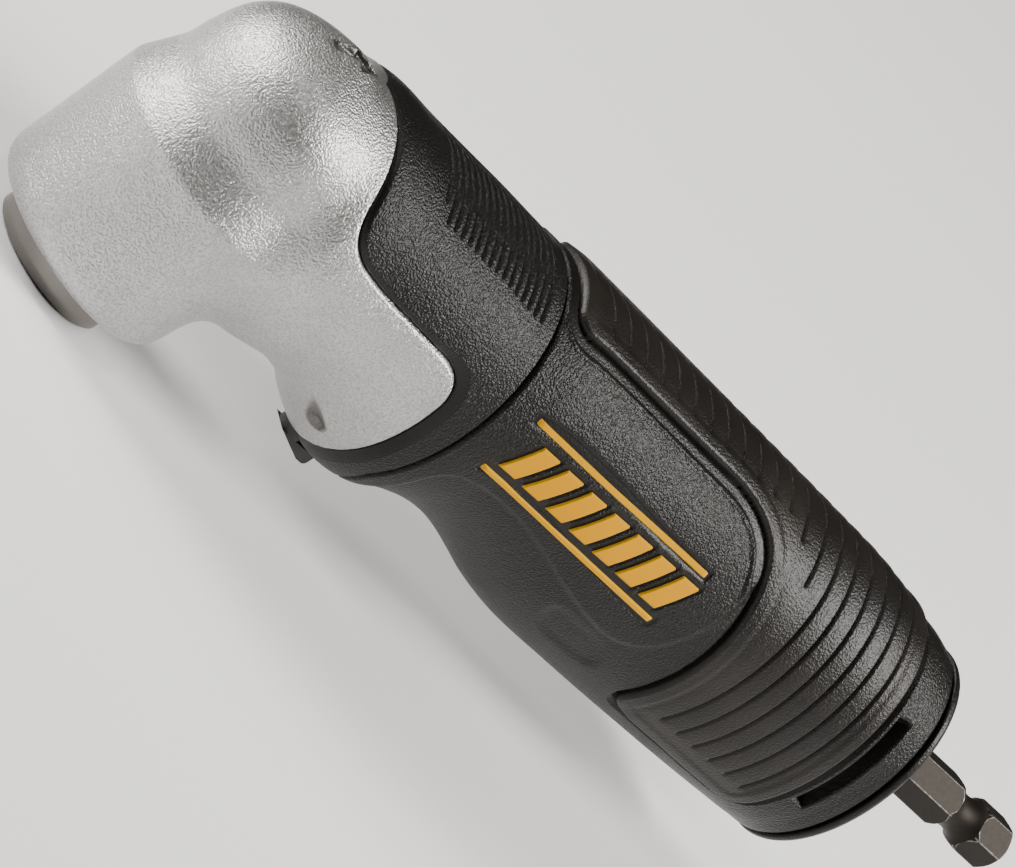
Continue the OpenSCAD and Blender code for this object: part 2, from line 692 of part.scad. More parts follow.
// Side view of the button's tab
module tab_outline()
  polygon(concat(
    [[latch_x - latch_r, tab_top_z], [tab_x, latch_low_z]],
    [for (a = [0:30:90]) [tab_end_x - latch_round + latch_round * sin(a),
      latch_low_z + latch_round - latch_round * cos(a)]],
    [[tab_end_x, tab_top_z]]));

module latch_button() color("#201f1e") at_drive() {
  across(tab_half_w) tab_outline();
  translate([latch_x, 0, 0]) rotate_extrude($fn = fn_round)
    polygon([
      [0, tab_top_z - run_gap], [latch_r - run_gap, tab_top_z - run_gap],
      [latch_r - run_gap, latch_stop_z],
      [latch_flange_r, latch_stop_z], [latch_flange_r, latch_stop_z + latch_flange_t],
      [latch_pin_r, latch_stop_z + latch_flange_t],
      [latch_pin_r, -tube_flange_r - latch_travel],
      [latch_neck_r, -tube_flange_r - latch_travel], [latch_neck_r, -tube_flange_r - run_gap],
      [latch_pin_r, -tube_flange_r - run_gap], [latch_pin_r, latch_tip_z], [0, latch_tip_z]]);
}

// A coil spring with round wire, standing on Z
module coil(coil_r, wire_r, length, turns) {
  steps = 12 * turns;
  sides = 6;
  rings = [for (i = [0:steps]) let (a = 360 * turns * i / steps)
    each [for (k = [0:sides - 1]) let (b = 360 * k / sides, r = coil_r + wire_r * cos(b))
      [r * cos(a), r * sin(a), wire_r + (length - 2 * wire_r) * i / steps + wire_r * sin(b)]]];
  skin = [for (i = [0:steps - 1]) each [for (k = [0:sides - 1]) let (j = (k + 1) % sides)
    each [[i * sides + k, i * sides + j, (i + 1) * sides + k],
          [i * sides + j, (i + 1) * sides + j, (i + 1) * sides + k]]]];
  ends = [for (k = [1:sides - 2]) each [[0, k + 1, k],
    [steps * sides, steps * sides + k, steps * sides + k + 1]]];
  polyhedron([each rings], concat(skin, ends));
}

module latch_spring() color("#a8acb0") at_drive() {
  low_z = latch_stop_z + latch_flange_t;
  translate([latch_x, 0, low_z])
    coil(spring_r, spring_wire_r, -tube_flange_r - low_z, spring_turns);
}

module coupling_tube() color("#84888c") at_drive()
  difference() {
    union() {
      along_x(tube_front_x)
        cylinder(r = tube_flange_r, h = tube_flange_end - tube_front_x, $fn = fn_round);
      along_x(tube_flange_end - cut)
        cylinder(r = tube_r, h = tube_end_x - tube_flange_end + cut, $fn = fn_round);
    }
    along_x(tube_front_x - cut)
      cylinder(r = tube_bore_r, h = tube_end_x - tube_front_x + 2 * cut, $fn = fn_round);
    along_x(rear_bearing_x)
      cylinder(r = rear_bearing[1], h = tube_end_x - rear_bearing_x + cut, $fn = fn_round);
    along_x(rear_bearing_end)
      cylinder(r = rear_bearing[1] + ring_groove, h = clip_t, $fn = fn_round);
    // Keyhole for the latch: a thin shelf that the pin's neck can pass, with
    // a wider way over it, both open at the front of the tube
    latch_hole(latch_pin_r + slide_gap, -tube_flange_r - cut, latch_room_z);
    translate([tube_front_x - cut, -latch_neck_r - slide_gap, -tube_flange_r - cut])
      cube([latch_x - tube_front_x + cut, 2 * (latch_neck_r + slide_gap),
        latch_shelf_t + 2 * cut]);
    translate([tube_front_x - cut, -latch_pin_r - slide_gap, -tube_flange_r + latch_shelf_t])
      cube([latch_x - tube_front_x + cut, 2 * (latch_pin_r + slide_gap),
        latch_room_z + tube_flange_r - latch_shelf_t]);
  }

module front_bush() color("#b5854a") at_drive() along_x(front_bush_x)
  ring(tube_bore_r, shaft_r + run_gap, front_bush_len);

module input_shaft() color("#55524e") at_drive()
  difference() {
    union() {
      along_x(coupling_hex_x) hex_bar(shank_af, pinion_shaft_end - coupling_hex_x + cut);
      along_x(pinion_shaft_end + free_gap)
        cylinder(r = shaft_r, h = rear_bearing_x - pinion_shaft_end - free_gap, $fn = fn_round);
      along_x(rear_bearing_x - cut)
        cylinder(r = rear_bearing[0], h = shank_round_end - rear_bearing_x + cut, $fn = fn_round);
      intersection() {
        along_x(shank_round_end - cut) rotate([0, 0, shank_turn_deg])
          hex_bar(shank_af, shank_tip_x - shank_round_end + cut);
        along_x(shank_round_end - cut) rotate_extrude($fn = fn_round)
          polygon([[0, 0], [rear_bearing[0], 0],
            [rear_bearing[0], shank_tip_x - shank_round_end + cut - tip_bevel_len],
            [rear_bearing[0] - tip_bevel_r, shank_tip_x - shank_round_end + cut],
            [0, shank_tip_x - shank_round_end + cut]]);
      }
    }
    // Waisted groove that a locking ball drops into
    along_x(groove_x) rotate_extrude($fn = fn_round)
      polygon(concat([[2 * shank_af, -groove_len / 2]],
        [for (i = [0:8]) let (a = -90 + 22.5 * i)
          [shank_af - (shank_af - groove_neck_r) * cos(a), groove_len / 2 * sin(a)]],
        [[2 * shank_af, groove_len / 2]]));
  }

module at_rear_bearing() at_drive() along_x(rear_bearing_x) children();
module rear_outer_race() color("#b8bcc2") at_rear_bearing() outer_race(rear_bearing);
module rear_inner_race() color("#b8bcc2") at_rear_bearing() inner_race(rear_bearing);
module rear_balls() color("#d8dce0") at_rear_bearing() balls(rear_bearing);
module rear_ball_cage() color("#b08d4a") at_rear_bearing() ball_cage(rear_bearing);

module rear_bearing_clip() color("#3c3c40") at_drive() along_x(rear_bearing_end)
  snap_ring(rear_bearing[1] + ring_groove - run_gap, rear_bearing[1] - clip_t, clip_t, clip_t * 2);

module tail_seal() color("#1a1a1a") at_drive() along_x(tube_end_x - tail_seal_t)
  ring(rear_bearing[1], rear_bearing[0] + seal_lip_gap, tail_seal_t);

module handle_shell() color("#2b2928") at_drive()
  difference() {
    body_loft(seam_x, tail_joint_x);
    across() seam_outline(0);
    intersection() {
      across() offset(delta = channel_w) grip_outline();
      difference() {
        body_loft(grip_front_x - grip_t, grip_rear_x + grip_t, cut);
        body_loft(grip_front_x - 2 * grip_t, grip_rear_x + 2 * grip_t, -grip_t);
      }
    }
    along_x(seam_x - cut)
      cylinder(r = tube_flange_r, h = tube_flange_end - seam_x + cut, $fn = fn_round);
    along_x(tube_flange_end - cut)
      cylinder(r = tube_r, h = tail_x - tube_flange_end, $fn = fn_round);
    along_x(plug_x) cylinder(r = plug_r + slide_gap, h = tail_x - plug_x, $fn = fn_round);
    translate([slot_x, -2 * body_w, -slot_h]) cube([slot_w, 4 * body_w, 2 * slot_h]);
  }

// Side view of the grooves, from the rear one forward
module groove_outline()
  for (i = [0:groove_count - 1])
    let (low_z = body_h * (i < long_grooves ? -groove_low_share : groove_high_share))
      translate([grip_rear_x - groove_setback - groove_pitch * i - groove_w / 2, low_z])
        square([groove_w, 2 * body_h]);

module rubber_grip() color("#1d1c1b") at_drive()
  difference() {
    intersection() {
      across() grip_outline();
      difference() {
        body_loft(grip_front_x - grip_t, grip_rear_x + grip_t);
        body_loft(grip_front_x - 2 * grip_t, grip_rear_x + 2 * grip_t, -grip_t);
      }
    }
    difference() {
      across() groove_outline();
      body_loft(grip_front_x - 2 * grip_t, grip_rear_x + 2 * grip_t, -groove_depth);
    }
  }

module tail_cap() color("#262423") at_drive()
  difference() {
    union() {
      body_loft(tail_joint_x + joint_gap, tail_x);
      along_x(plug_x)
        cylinder(r = plug_r, h = tail_joint_x - plug_x + joint_gap * 2, $fn = fn_round);
      intersection() {
        translate([slot_x + slide_gap, -2 * body_w, -slot_h + slide_gap])
          cube([slot_w - 2 * slide_gap, 4 * body_w, 2 * (slot_h - slide_gap)]);
        along_x(slot_x) cylinder(r = tab_depth_r, h = slot_w, $fn = fn_round);
      }
    }
    along_x(plug_x - cut) cylinder(r = tail_hole_r, h = tail_x - plug_x + 2 * cut, $fn = fn_round);
    along_x(plug_x - cut)
      cylinder(r = plug_bore_r, h = tail_joint_x - plug_x + cut, $fn = fn_round);
  }

module side_labels() color("#e0a21c") at_drive()
  intersection() {
    difference() {
      body_loft(label_x - cut, label_x + label_len + cut, label_t);
      body_loft(label_x - 2 * cut, label_x + label_len + 2 * cut);
    }
    translate([label_x, -2 * body_w, -label_drop]) cube([label_len, 4 * body_w, label_h]);
  }

gear_head();
nose_seal();
output_bearing_clip();
output_outer_race();
output_balls();
output_ball_cage();
output_inner_race();
output_spindle();
bit_magnet();
crown_gear();
spindle_clip();
spindle_top_bush();
pinion_shaft();
pinion_carrier();
carrier_clip();
pinion_outer_race();
pinion_balls();
pinion_ball_cage();
pinion_inner_race();
pinion_bearing_clip();
pinion_shaft_clip();
collar();
latch_button();
latch_spring();
coupling_tube();
front_bush();
input_shaft();
rear_outer_race();
rear_balls();
rear_ball_cage();
rear_inner_race();
rear_bearing_clip();
tail_seal();
handle_shell();
rubber_grip();
tail_cap();
side_labels();
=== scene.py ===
"""Looks of the right angle drill attachment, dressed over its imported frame.

Lengths are millimetres in the frame's axes: X runs back along the drive axis,
Z is the output axis, and the mouth of the bit socket is the origin.

A place on the oval body is x and an angle round it, or x and v, where v is the
distance round the skin from the middle of the side. A rise lifts a point off
the skin along its normal, and a negative rise sinks it.
"""
import math

import bpy
import numpy as np
from mathutils import Matrix, Vector


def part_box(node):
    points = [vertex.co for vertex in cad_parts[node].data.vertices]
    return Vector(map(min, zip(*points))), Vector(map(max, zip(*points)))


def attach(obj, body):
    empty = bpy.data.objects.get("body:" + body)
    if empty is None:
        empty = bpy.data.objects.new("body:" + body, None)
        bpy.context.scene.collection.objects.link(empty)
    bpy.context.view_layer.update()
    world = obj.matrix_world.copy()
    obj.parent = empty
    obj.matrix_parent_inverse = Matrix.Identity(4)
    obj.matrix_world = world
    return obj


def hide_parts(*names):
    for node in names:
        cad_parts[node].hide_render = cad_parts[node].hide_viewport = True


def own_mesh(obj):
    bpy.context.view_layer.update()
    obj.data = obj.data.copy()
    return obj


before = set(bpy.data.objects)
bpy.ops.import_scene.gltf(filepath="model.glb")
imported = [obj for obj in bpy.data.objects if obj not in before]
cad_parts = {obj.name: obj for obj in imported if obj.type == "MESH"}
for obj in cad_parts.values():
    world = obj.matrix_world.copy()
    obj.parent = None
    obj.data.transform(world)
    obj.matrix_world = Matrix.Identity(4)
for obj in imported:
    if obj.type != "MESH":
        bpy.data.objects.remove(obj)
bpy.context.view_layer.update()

MM = 0.001


def node_box(name):
    """Lowest and highest corner of a CAD node, in millimetres."""
    low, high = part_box(name)
    return np.array(low) / MM, np.array(high) / MM


# Places that the frame gives
axis_z = float(node_box("rear_inner_race")[0][2] + node_box("rear_inner_race")[1][2]) / 2
shank_tip_x = float(node_box("input_shaft")[1][0])
tail_x = float(node_box("tail_cap")[1][0])
mouth_z = float(node_box("output_spindle")[0][2])
spindle_top_z = float(node_box("output_spindle")[1][2])

# The oval body: its sections as shares of the reach, height and half width:
# place, top, bottom, half width
body_h = 19
body_w = 16.4
body_shares = np.array([
    [0.000, 0.978, 0.900, 0.800], [0.035, 0.980, 0.900, 0.901],
    [0.078, 1.000, 0.905, 0.980], [0.127, 0.980, 0.895, 0.985],
    [0.195, 0.961, 0.830, 0.990], [0.244, 0.953, 0.899, 0.990],
    [0.271, 0.945, 0.995, 1.000], [0.296, 0.937, 1.065, 1.000],
    [0.328, 0.932, 1.117, 1.000], [0.354, 0.968, 1.092, 1.000],
    [0.380, 0.984, 1.010, 0.996], [0.404, 0.980, 0.952, 0.987],
    [0.432, 0.973, 0.920, 0.983], [0.459, 0.968, 0.920, 0.979],
    [0.489, 0.963, 0.949, 0.975], [0.519, 0.959, 0.998, 0.967],
    [0.549, 0.955, 1.051, 0.958], [0.587, 0.950, 1.093, 0.946],
    [0.684, 0.930, 1.105, 0.915], [0.782, 0.907, 1.093, 0.883],
    [0.857, 0.882, 1.078, 0.854], [0.921, 0.822, 1.058, 0.818],
    [0.962, 0.787, 1.041, 0.792], [0.988, 0.732, 1.018, 0.764],
    [0.996, 0.700, 0.990, 0.735], [1.000, 0.655, 0.940, 0.690]])
# Radius that turns an angle round the body into a distance along its skin
girth_r = 17
# From the middle of the side to the crest of the body, along the skin
quarter = girth_r * math.pi / 2


def smooth_table(places, values):
    """A smooth curve through a table of values."""
    slopes = np.gradient(values, places)

    def curve(x):
        x = np.clip(x, places[0], places[-1])
        i = np.clip(np.searchsorted(places, x, side="right") - 1, 0, len(places) - 2)
        span = places[i + 1] - places[i]
        t = (x - places[i]) / span
        a = values[i] * (2 * t**3 - 3 * t**2 + 1) + values[i + 1] * (3 * t**2 - 2 * t**3)
        b = slopes[i] * (t**3 - 2 * t**2 + t) + slopes[i + 1] * (t**3 - t**2)
        return a + b * span

    return curve


body_top = smooth_table(body_shares[:, 0] * tail_x, body_shares[:, 1] * body_h)
body_low = smooth_table(body_shares[:, 0] * tail_x, body_shares[:, 2] * body_h)
body_half = smooth_table(body_shares[:, 0] * tail_x, body_shares[:, 3] * body_w)


def skin(x, angle, rise=0.0):
    """Points on the oval body at a place and angle, raised along the normal."""
    top, low, half = body_top(x), body_low(x), body_half(x)
    tall = (top + low) / 2
    normal_y, normal_z = np.cos(angle) / half, np.sin(angle) / tall
    scale = rise / np.hypot(normal_y, normal_z)
    y = half * np.cos(angle) + normal_y * scale
    z = (top - low) / 2 + tall * np.sin(angle) + normal_z * scale
    return np.stack([x + 0 * y, y, z + axis_z], -1)


def lift(x, z):
    """Angle above the side of the body of a point that the side view shows."""
    top, low = body_top(x), body_low(x)
    return np.arcsin(np.clip((z - (top - low) / 2) * 2 / (top + low), -1, 1))


def arc(degrees):
    """Distance round the skin of an angle above the side."""
    return girth_r * math.radians(degrees)


def at_height(x, z):
    """Distance round the skin of a height over the drive axis."""
    return girth_r * float(lift(x, z))


def unrolled(points):
    """Side view points (x, height over the drive axis) laid flat on the skin."""
    return [(x, at_height(x, z)) for x, z in points]


def smooth_step(low, high, value):
    """0 at low, 1 at high, and smooth between; low may be the greater one."""
    t = np.clip((value - low) / (high - low), 0, 1)
    return t * t * (3 - 2 * t)


def rounded_fall(depth, reach, gap):
    """How far a rounded edge has fallen at a gap from its end."""
    return depth * (1 - np.sqrt(np.clip(gap / reach, 0, 1)))


def notch(side, ahead, behind):
    """1 on a line, falling to 0 at its own distance on either side."""
    return np.clip(1 - np.abs(side) / np.where(side > 0, behind, ahead), 0, 1)


def rounded(corners, steps=8):
    """Closed outline from (u, v, radius) corners, with each corner rounded."""
    outline = []
    for i, (u, v, radius) in enumerate(corners):
        corner = np.array([u, v], float)
        before = np.array(corners[i - 1][:2], float)
        after = np.array(corners[(i + 1) % len(corners)][:2], float)
        if not radius:
            outline.append(tuple(corner))
            continue
        start = corner + (before - corner) * min(0.5, radius / np.linalg.norm(before - corner))
        end = corner + (after - corner) * min(0.5, radius / np.linalg.norm(after - corner))
        for k in range(steps + 1):
            t = k / steps
            outline.append(tuple((1 - t)**2 * start + 2 * t * (1 - t) * corner + t**2 * end))
    return outline


def rounded_run(points, passes=2):
    """Corner cutting of an open run of points."""
    for _ in range(passes):
        cut = [points[0]]
        for a, b in zip(points, points[1:]):
            a, b = np.array(a), np.array(b)
            cut += [tuple(0.75 * a + 0.25 * b), tuple(0.25 * a + 0.75 * b)]
        points = cut + [points[-1]]
    return points


def outline_distance(u, v, outline):
    """Distance of points to a closed outline, negative inside."""
    nearest = np.full(np.shape(u), 1e9)
    inside = np.zeros(np.shape(u), bool)
    for (u0, v0), (u1, v1) in zip(outline, outline[1:] + outline[:1]):
        du, dv = u1 - u0, v1 - v0
        length = du * du + dv * dv
        if length < 1e-12:
            continue
        t = np.clip(((u - u0) * du + (v - v0) * dv) / length, 0, 1)
        nearest = np.minimum(nearest, (u - u0 - t * du)**2 + (v - v0 - t * dv)**2)
        if dv:
            inside ^= ((v0 > v) != (v1 > v)) & (u < u0 + du * (v - v0) / dv)
    return np.where(inside, -1, 1) * np.sqrt(nearest)


# Shader expressions

class Wire:
    """A shader value; arithmetic on it adds Math nodes."""

    def __init__(self, finish, socket):
        self.finish, self.socket = finish, socket

    def __add__(self, other):
        return self.finish.node("Math", {"operation": "ADD"}, self, other)

    def __sub__(self, other):
        return self.finish.node("Math", {"operation": "SUBTRACT"}, self, other)

    def __rsub__(self, other):
        return self.finish.node("Math", {"operation": "SUBTRACT"}, other, self)

    def __mul__(self, other):
        return self.finish.node("Math", {"operation": "MULTIPLY"}, self, other)

    __radd__ = __add__
    __rmul__ = __mul__

    def between(self, low, high):
        """0 below low, 1 above high, and smooth between."""
        return self.finish.node("MapRange", {"interpolation_type": "SMOOTHSTEP"},
                                self, low, high, 0.0, 1.0)


class Finish:
    """One material, written as expressions on its own node tree."""

    def __init__(self, name):
        self.material = bpy.data.materials.new(name)
        self.material.use_nodes = True
        self.tree = self.material.node_tree
        self.shader = self.tree.nodes["Principled BSDF"]
        self.place = self.node("TexCoord", output="Object")

    def node(self, kind, settings=None, *inputs, output=0, **named):
        """A node of a kind, its settings, then the values or links of its sockets."""
        made = self.tree.nodes.new("ShaderNode" + kind)
        for key, value in (settings or {}).items():
            setattr(made, key, value)
        sockets = [s for s in made.inputs if s.enabled]
        pairs = list(zip(sockets, inputs)) + [(made.inputs[k], v) for k, v in named.items()]
        for socket, value in pairs:
            self.feed(socket, value)
        if isinstance(output, str):
            return Wire(self, made.outputs[output])
        return Wire(self, [s for s in made.outputs if s.enabled][output])

    def feed(self, socket, value):
        if isinstance(value, Wire):
            self.tree.links.new(value.socket, socket)
        elif value is not None:
            socket.default_value = value

    def noise(self, size, detail=2.0, rough=0.5):
        """Noise whose blotches are about size millimetres across."""
        return self.node("TexNoise", None, Vector=self.place, Scale=1 / (size * MM),
                         Detail=detail, Roughness=rough)

    def mask(self, name):
        return self.node("Attribute", {"attribute_name": name}, output="Fac")

    def colour(self, factor, first, second):
        return self.node("Mix", {"data_type": "RGBA"}, factor, first, second)

    def bump(self, height, depth, strength=1.0, under=None):
        """Relief in millimetres; under is an earlier bump to lie on."""
        return self.node("Bump", None, Height=height, Distance=depth * MM,
                         Strength=strength, Normal=under)

    def done(self, **sockets):
        for name, value in sockets.items():
            self.feed(self.shader.inputs[name.replace("_", " ")], value)
        return self.material


def grey(value, warmth=0.0):
    """A grey whose red is raised and whose blue is lowered by a share."""
    return (value * (1 + warmth), value, value * (1 - warmth), 1)


def cast_metal():
    """Bead blasted light alloy with an orange peel skin; painted shade darkens the skin's low spots
    and the pockets and arrow cut into it.
    """
    f = Finish("cast_metal")
    pebbles = f.noise(0.30)
    fine = f.noise(0.14, detail=1.0)
    cloud = f.noise(9)
    pit_shade = pebbles.between(0.36, 0.60)
    carved_shade = f.mask("carved_shade")
    shade = f.colour(cloud.between(0.3, 0.7), grey(0.52, 0.01), grey(0.58, 0.015))
    # Painted shade: the low spots of the pebbled grain are darkened towards a dark grey
    shade = f.colour(pit_shade * 0.55 + 0.45, grey(0.26, 0.03), shade)
    # Painted shade: the sunk pockets and the crown arrow are darkened to a near black grey
    shade = f.colour(carved_shade * 0.85, shade, grey(0.10, 0.06))
    relief = f.bump(pebbles, 0.18)
    relief = f.bump(fine, 0.02, 0.7, relief)
    return f.done(Base_Color=shade, Metallic=0.9, Roughness=cloud * 0.05 + 0.265 + fine * 0.06,
                  Normal=relief)


def moulded_nylon():
    """Black glass filled nylon with a spark eroded grain; smooth where masked."""
    f = Finish("moulded_nylon")
    grain = f.mask("grain")
    pebbles = f.noise(0.30, detail=1.0)
    cloud = f.noise(14)
    dust = f.noise(0.3).between(0.5, 0.7)
    shade = f.colour(cloud.between(0.3, 0.75), grey(0.005, 0.12), grey(0.008, 0.16))
    shade = f.colour(dust * grain * 0.4, shade, grey(0.020, 0.12))
    relief = f.bump(pebbles * (grain * 0.95 + 0.05), 0.17)
    return f.done(Base_Color=shade, Roughness=grain * 0.02 + 0.33 + cloud * 0.06, Normal=relief,
                  Specular_IOR_Level=0.22)


def soft_rubber():
    """Satin black grip rubber with a fine skin."""
    f = Finish("soft_rubber")
    grain = f.mask("grain")
    pebbles = f.noise(0.30, detail=1.0)
    cloud = f.noise(11)
    shade = f.colour(cloud.between(0.3, 0.75), grey(0.008, 0.14), grey(0.014, 0.18))
    relief = f.bump(pebbles * (grain * 0.75 + 0.25), 0.11, 0.9)
    return f.done(Base_Color=shade, Roughness=cloud * 0.08 + 0.34, Normal=relief,
                  Specular_IOR_Level=0.25)


def worn_steel():
    """Blackened steel, rubbed bright on its edges and mottled on its flats."""
    f = Finish("worn_steel")
    edge = f.mask("edge")
    mottle = f.noise(0.55, detail=4.0, rough=0.65)
    cloud = f.noise(3.5, detail=3.0)
    rub = (edge * 1.3 + mottle * 1.1 + cloud * 0.4 - 1.0).between(0.0, 0.65)
    shade = f.colour(rub, grey(0.022, 0.14), grey(0.27, 0.07))
    return f.done(Base_Color=shade, Metallic=0.92, Roughness=0.50 - rub * 0.12 + mottle * 0.12,
                  Normal=f.bump(mottle, 0.02, 0.6))


def turned_metal(name, bright, warmth=0.02, rough=0.25):
    """Machined metal with a fine uneven shine."""
    f = Finish(name)
    ripple = f.noise(0.25, rough=0.6)
    cloud = f.noise(4)
    shade = f.colour(cloud, grey(bright * 0.8, warmth), grey(bright, warmth))
    return f.done(Base_Color=shade, Metallic=1.0, Roughness=ripple * 0.15 + rough,
                  Normal=f.bump(ripple, 0.006, 0.6))


def plain_plastic(name, first, second, rough=0.5):
    """Smooth plastic or rubber, clouded between two shades."""
    f = Finish(name)
    cloud = f.noise(2.5, detail=3.0)
    return f.done(Base_Color=f.colour(cloud, first, second), Roughness=cloud * 0.15 + rough,
                  Normal=f.bump(f.noise(0.3), 0.02, 0.5))


def label_amber():
    """Amber print on raised lands, yellower along the rims."""
    f = Finish("label_amber")
    fine = f.noise(0.3)
    shade = f.colour(f.mask("edge"), (0.70, 0.315, 0.0, 1), (0.70, 0.39, 0.01, 1))
    return f.done(Base_Color=shade, Roughness=fine * 0.15 + 0.55, Normal=f.bump(fine, 0.015, 0.5),
                  Specular_IOR_Level=0.06)


cast = cast_metal()
nylon = moulded_nylon()
rubber = soft_rubber()
steel = worn_steel()
flange_steel = turned_metal("flange_steel", 0.21, 0.07, 0.26)
amber = label_amber()
button = plain_plastic("button_plastic", grey(0.02, 0.05), grey(0.035, 0.05), 0.4)
clip_steel = turned_metal("clip_steel", 0.16, 0.04, 0.35)


# Mesh makers

def piece(name, points, faces, material, masks=None):
    """A smooth mesh object from points in millimetres, with masks for its finish."""
    mesh = bpy.data.meshes.new(name)
    mesh.from_pydata((np.asarray(points, float) * MM).tolist(), [], np.asarray(faces).tolist())
    mesh.validate()
    mesh.shade_smooth()
    mesh.materials.append(material)
    for key, values in (masks or {}).items():
        attribute = mesh.attributes.new(key, "FLOAT", "POINT")
        attribute.data.foreach_set("value", np.asarray(values, np.float32).ravel())
    obj = bpy.data.objects.new(name, mesh)
    bpy.context.scene.collection.objects.link(obj)
    return obj


def grid_faces(rows, columns, closed_rows=False, closed_columns=True, flip=False):
    """Quads of a grid of points, wrapped round where it is closed."""
    i, j = np.meshgrid(np.arange(rows if closed_rows else rows - 1),
                       np.arange(columns if closed_columns else columns - 1), indexing="ij")
    i, j = i.ravel(), j.ravel()
    k, m = (i + 1) % rows, (j + 1) % columns
    quads = np.stack([i * columns + j, i * columns + m, k * columns + m, k * columns + j], 1)
    return quads[:, ::-1] if flip else quads


def full_turn(count):
    """Angles of an even ring of points."""
    return np.linspace(0, 2 * math.pi, count, endpoint=False)


def hexagon(half_flat, angle):
    """Radius of a hexagon at angles round it."""
    return half_flat / np.cos((angle + math.pi / 6) % (math.pi / 3) - math.pi / 6)


def fine_profile(points, step, straight_step):
    """The same profile with points no further apart than a step."""
    out = [points[0]]
    for (r0, h0), (r1, h1) in zip(points, points[1:]):
        length = math.hypot(r1 - r0, h1 - h0)
        count = max(1, math.ceil(length / (straight_step if r0 == r1 else step)))
        out += [(r0 + (r1 - r0) * k / count, h0 + (h1 - h0) * k / count)
                for k in range(1, count + 1)]
    return out


def body_grid(start, end_x, rows, columns):
    """Grid over the body to a place, from a place or from a joint at each angle."""
    angle = full_turn(columns)[None, :]
    t = np.linspace(0, 1, rows)[:, None]
    first = start(top_side(angle)) if callable(start) else start
    x = first + (end_x - first) * t + 0 * angle
    return x, angle + 0 * x, girth_r * top_side(angle) + 0 * x


def tube_piece(name, x, angle, rise, material, masks, wall):
    """Closed shell: the outer grid, then an inner skin of the same ends."""
    inner_rows = 14
    pick = np.linspace(len(x) - 1, 0, inner_rows).round().astype(int)
    inner = skin(x[pick], angle[pick], rise[pick] * 0 - wall)
    points = np.concatenate([skin(x, angle, rise), inner])
    full = {k: np.concatenate([m, m[pick]]) for k, m in masks.items()}
    faces = grid_faces(len(points), points.shape[1], closed_rows=True)
    return piece(name, points.reshape(-1, 3), faces, material, full)


def surface_net(field, low, high, step):
    """Quad mesh of the zero level of a field, with points pulled onto it."""
    axes = [np.arange(a, b + step, step) for a, b in zip(low, high)]
    shape = tuple(len(a) for a in axes)
    grid = np.stack(np.meshgrid(*axes, indexing="ij"), -1)
    value = field(grid.reshape(-1, 3)).reshape(shape)
    total = np.zeros([n - 1 for n in shape] + [3])
    count = np.zeros([n - 1 for n in shape])
    cell = tuple(slice(0, n - 1) for n in shape)
    quads = []
    for axis in range(3):
        one, two = [a for a in range(3) if a != axis]
        head = [slice(None)] * 3
        tail = [slice(None)] * 3
        head[axis], tail[axis] = slice(0, -1), slice(1, None)
        v0, v1 = value[tuple(head)], value[tuple(tail)]
        # Where the surface crosses the grid's edges along this axis
        crossed = (v0 < 0) != (v1 < 0)
        t = np.where(crossed, v0 / np.where(crossed, v0 - v1, 1), 0)
        spot = grid[tuple(head)].copy()
        spot[..., axis] += t * step
        for a in (0, 1):
            for b in (0, 1):
                take = [slice(None)] * 3
                take[one] = slice(a, shape[one] - 1 + a)
                take[two] = slice(b, shape[two] - 1 + b)
                hit = crossed[tuple(take)]
                total[cell] += np.where(hit[..., None], spot[tuple(take)], 0)
                count[cell] += hit
        # One quad round each crossed edge, through the four cells beside it
        inner = [slice(None)] * 3
        inner[one], inner[two] = slice(1, -1), slice(1, -1)
        where = np.argwhere(crossed[tuple(inner)])
        leaving = v0[tuple(inner)][tuple(where.T)] < 0
        where[:, one] += 1
        where[:, two] += 1
        corners = []
        for a, b in ((1, 1), (0, 1), (0, 0), (1, 0)):
            c = where.copy()
            c[:, one] -= a
            c[:, two] -= b
            corners.append(c)
        loop = np.stack(corners, 1)
        turn = leaving ^ (axis == 1)
        loop[~turn] = loop[~turn][:, ::-1]
        quads.append(loop)
    used = np.argwhere(count > 0)
    index = np.full(count.shape, -1)
    index[tuple(used.T)] = np.arange(len(used))
    points = total[tuple(used.T)] / count[tuple(used.T)][:, None]
    faces = np.concatenate(quads)
    faces = index[faces[..., 0], faces[..., 1], faces[..., 2]]
    pull_onto(field, points, 4)
    return points, faces


def pull_onto(field, points, rounds, nudge=0.05):
    """Move points down the slope of a field onto its zero level."""
    least_slope = 0.05
    for _ in range(rounds):
        here = field(points)
        slope = np.stack([(field(points + nudge * e) - field(points - nudge * e)) / (2 * nudge)
                          for e in np.eye(3)], 1)
        points -= slope * (here / np.maximum((slope**2).sum(1), least_slope))[:, None]


def divided(points, faces):
    """The same quads with each one cut into four."""
    pairs = np.sort(np.stack([faces, np.roll(faces, -1, 1)], -1), -1)
    edges, which = np.unique(pairs.reshape(-1, 2), axis=0, return_inverse=True)
    middle = which.reshape(-1, 4) + len(points)
    centre = np.arange(len(faces)) + len(points) + len(edges)
    points = np.concatenate([points, points[edges].mean(1), points[faces].mean(1)])
    parts = [np.stack([faces[:, k], middle[:, k], centre, middle[:, k - 1]], 1) for k in range(4)]
    return points, np.concatenate(parts)


# Outlines that the photograph shows on the side of the body

casting_top_x = 4.1
casting_side = [(6.1, 18.3), (7.1, 17.1), (7.7, 14.1), (8.2, 9.8), (10.0, 6.9), (13.0, 5.4),
                (16.2, 4.9), (23.2, 4.3), (29.9, 4.0), (33.1, 3.9), (35.6, 3.1), (37.0, 1.2),
                (37.4, -1.4), (37.9, -6.0), (38.6, -11.7), (38.9, -16.1), (39.2, -19.3)]
casting_low_x = 39.4
beyond_x = -40
casting_edge = rounded_run([(casting_top_x, quarter)] + unrolled(casting_side)
                           + [(casting_low_x, -quarter)])
casting_outline = ([(beyond_x, 2 * quarter), (casting_top_x, 2 * quarter)] + casting_edge
                   + [(casting_low_x, -2 * quarter), (beyond_x, -2 * quarter)])

seam_x = 43.8
seam_sweep = 5.0
seam_bend_deg = 38

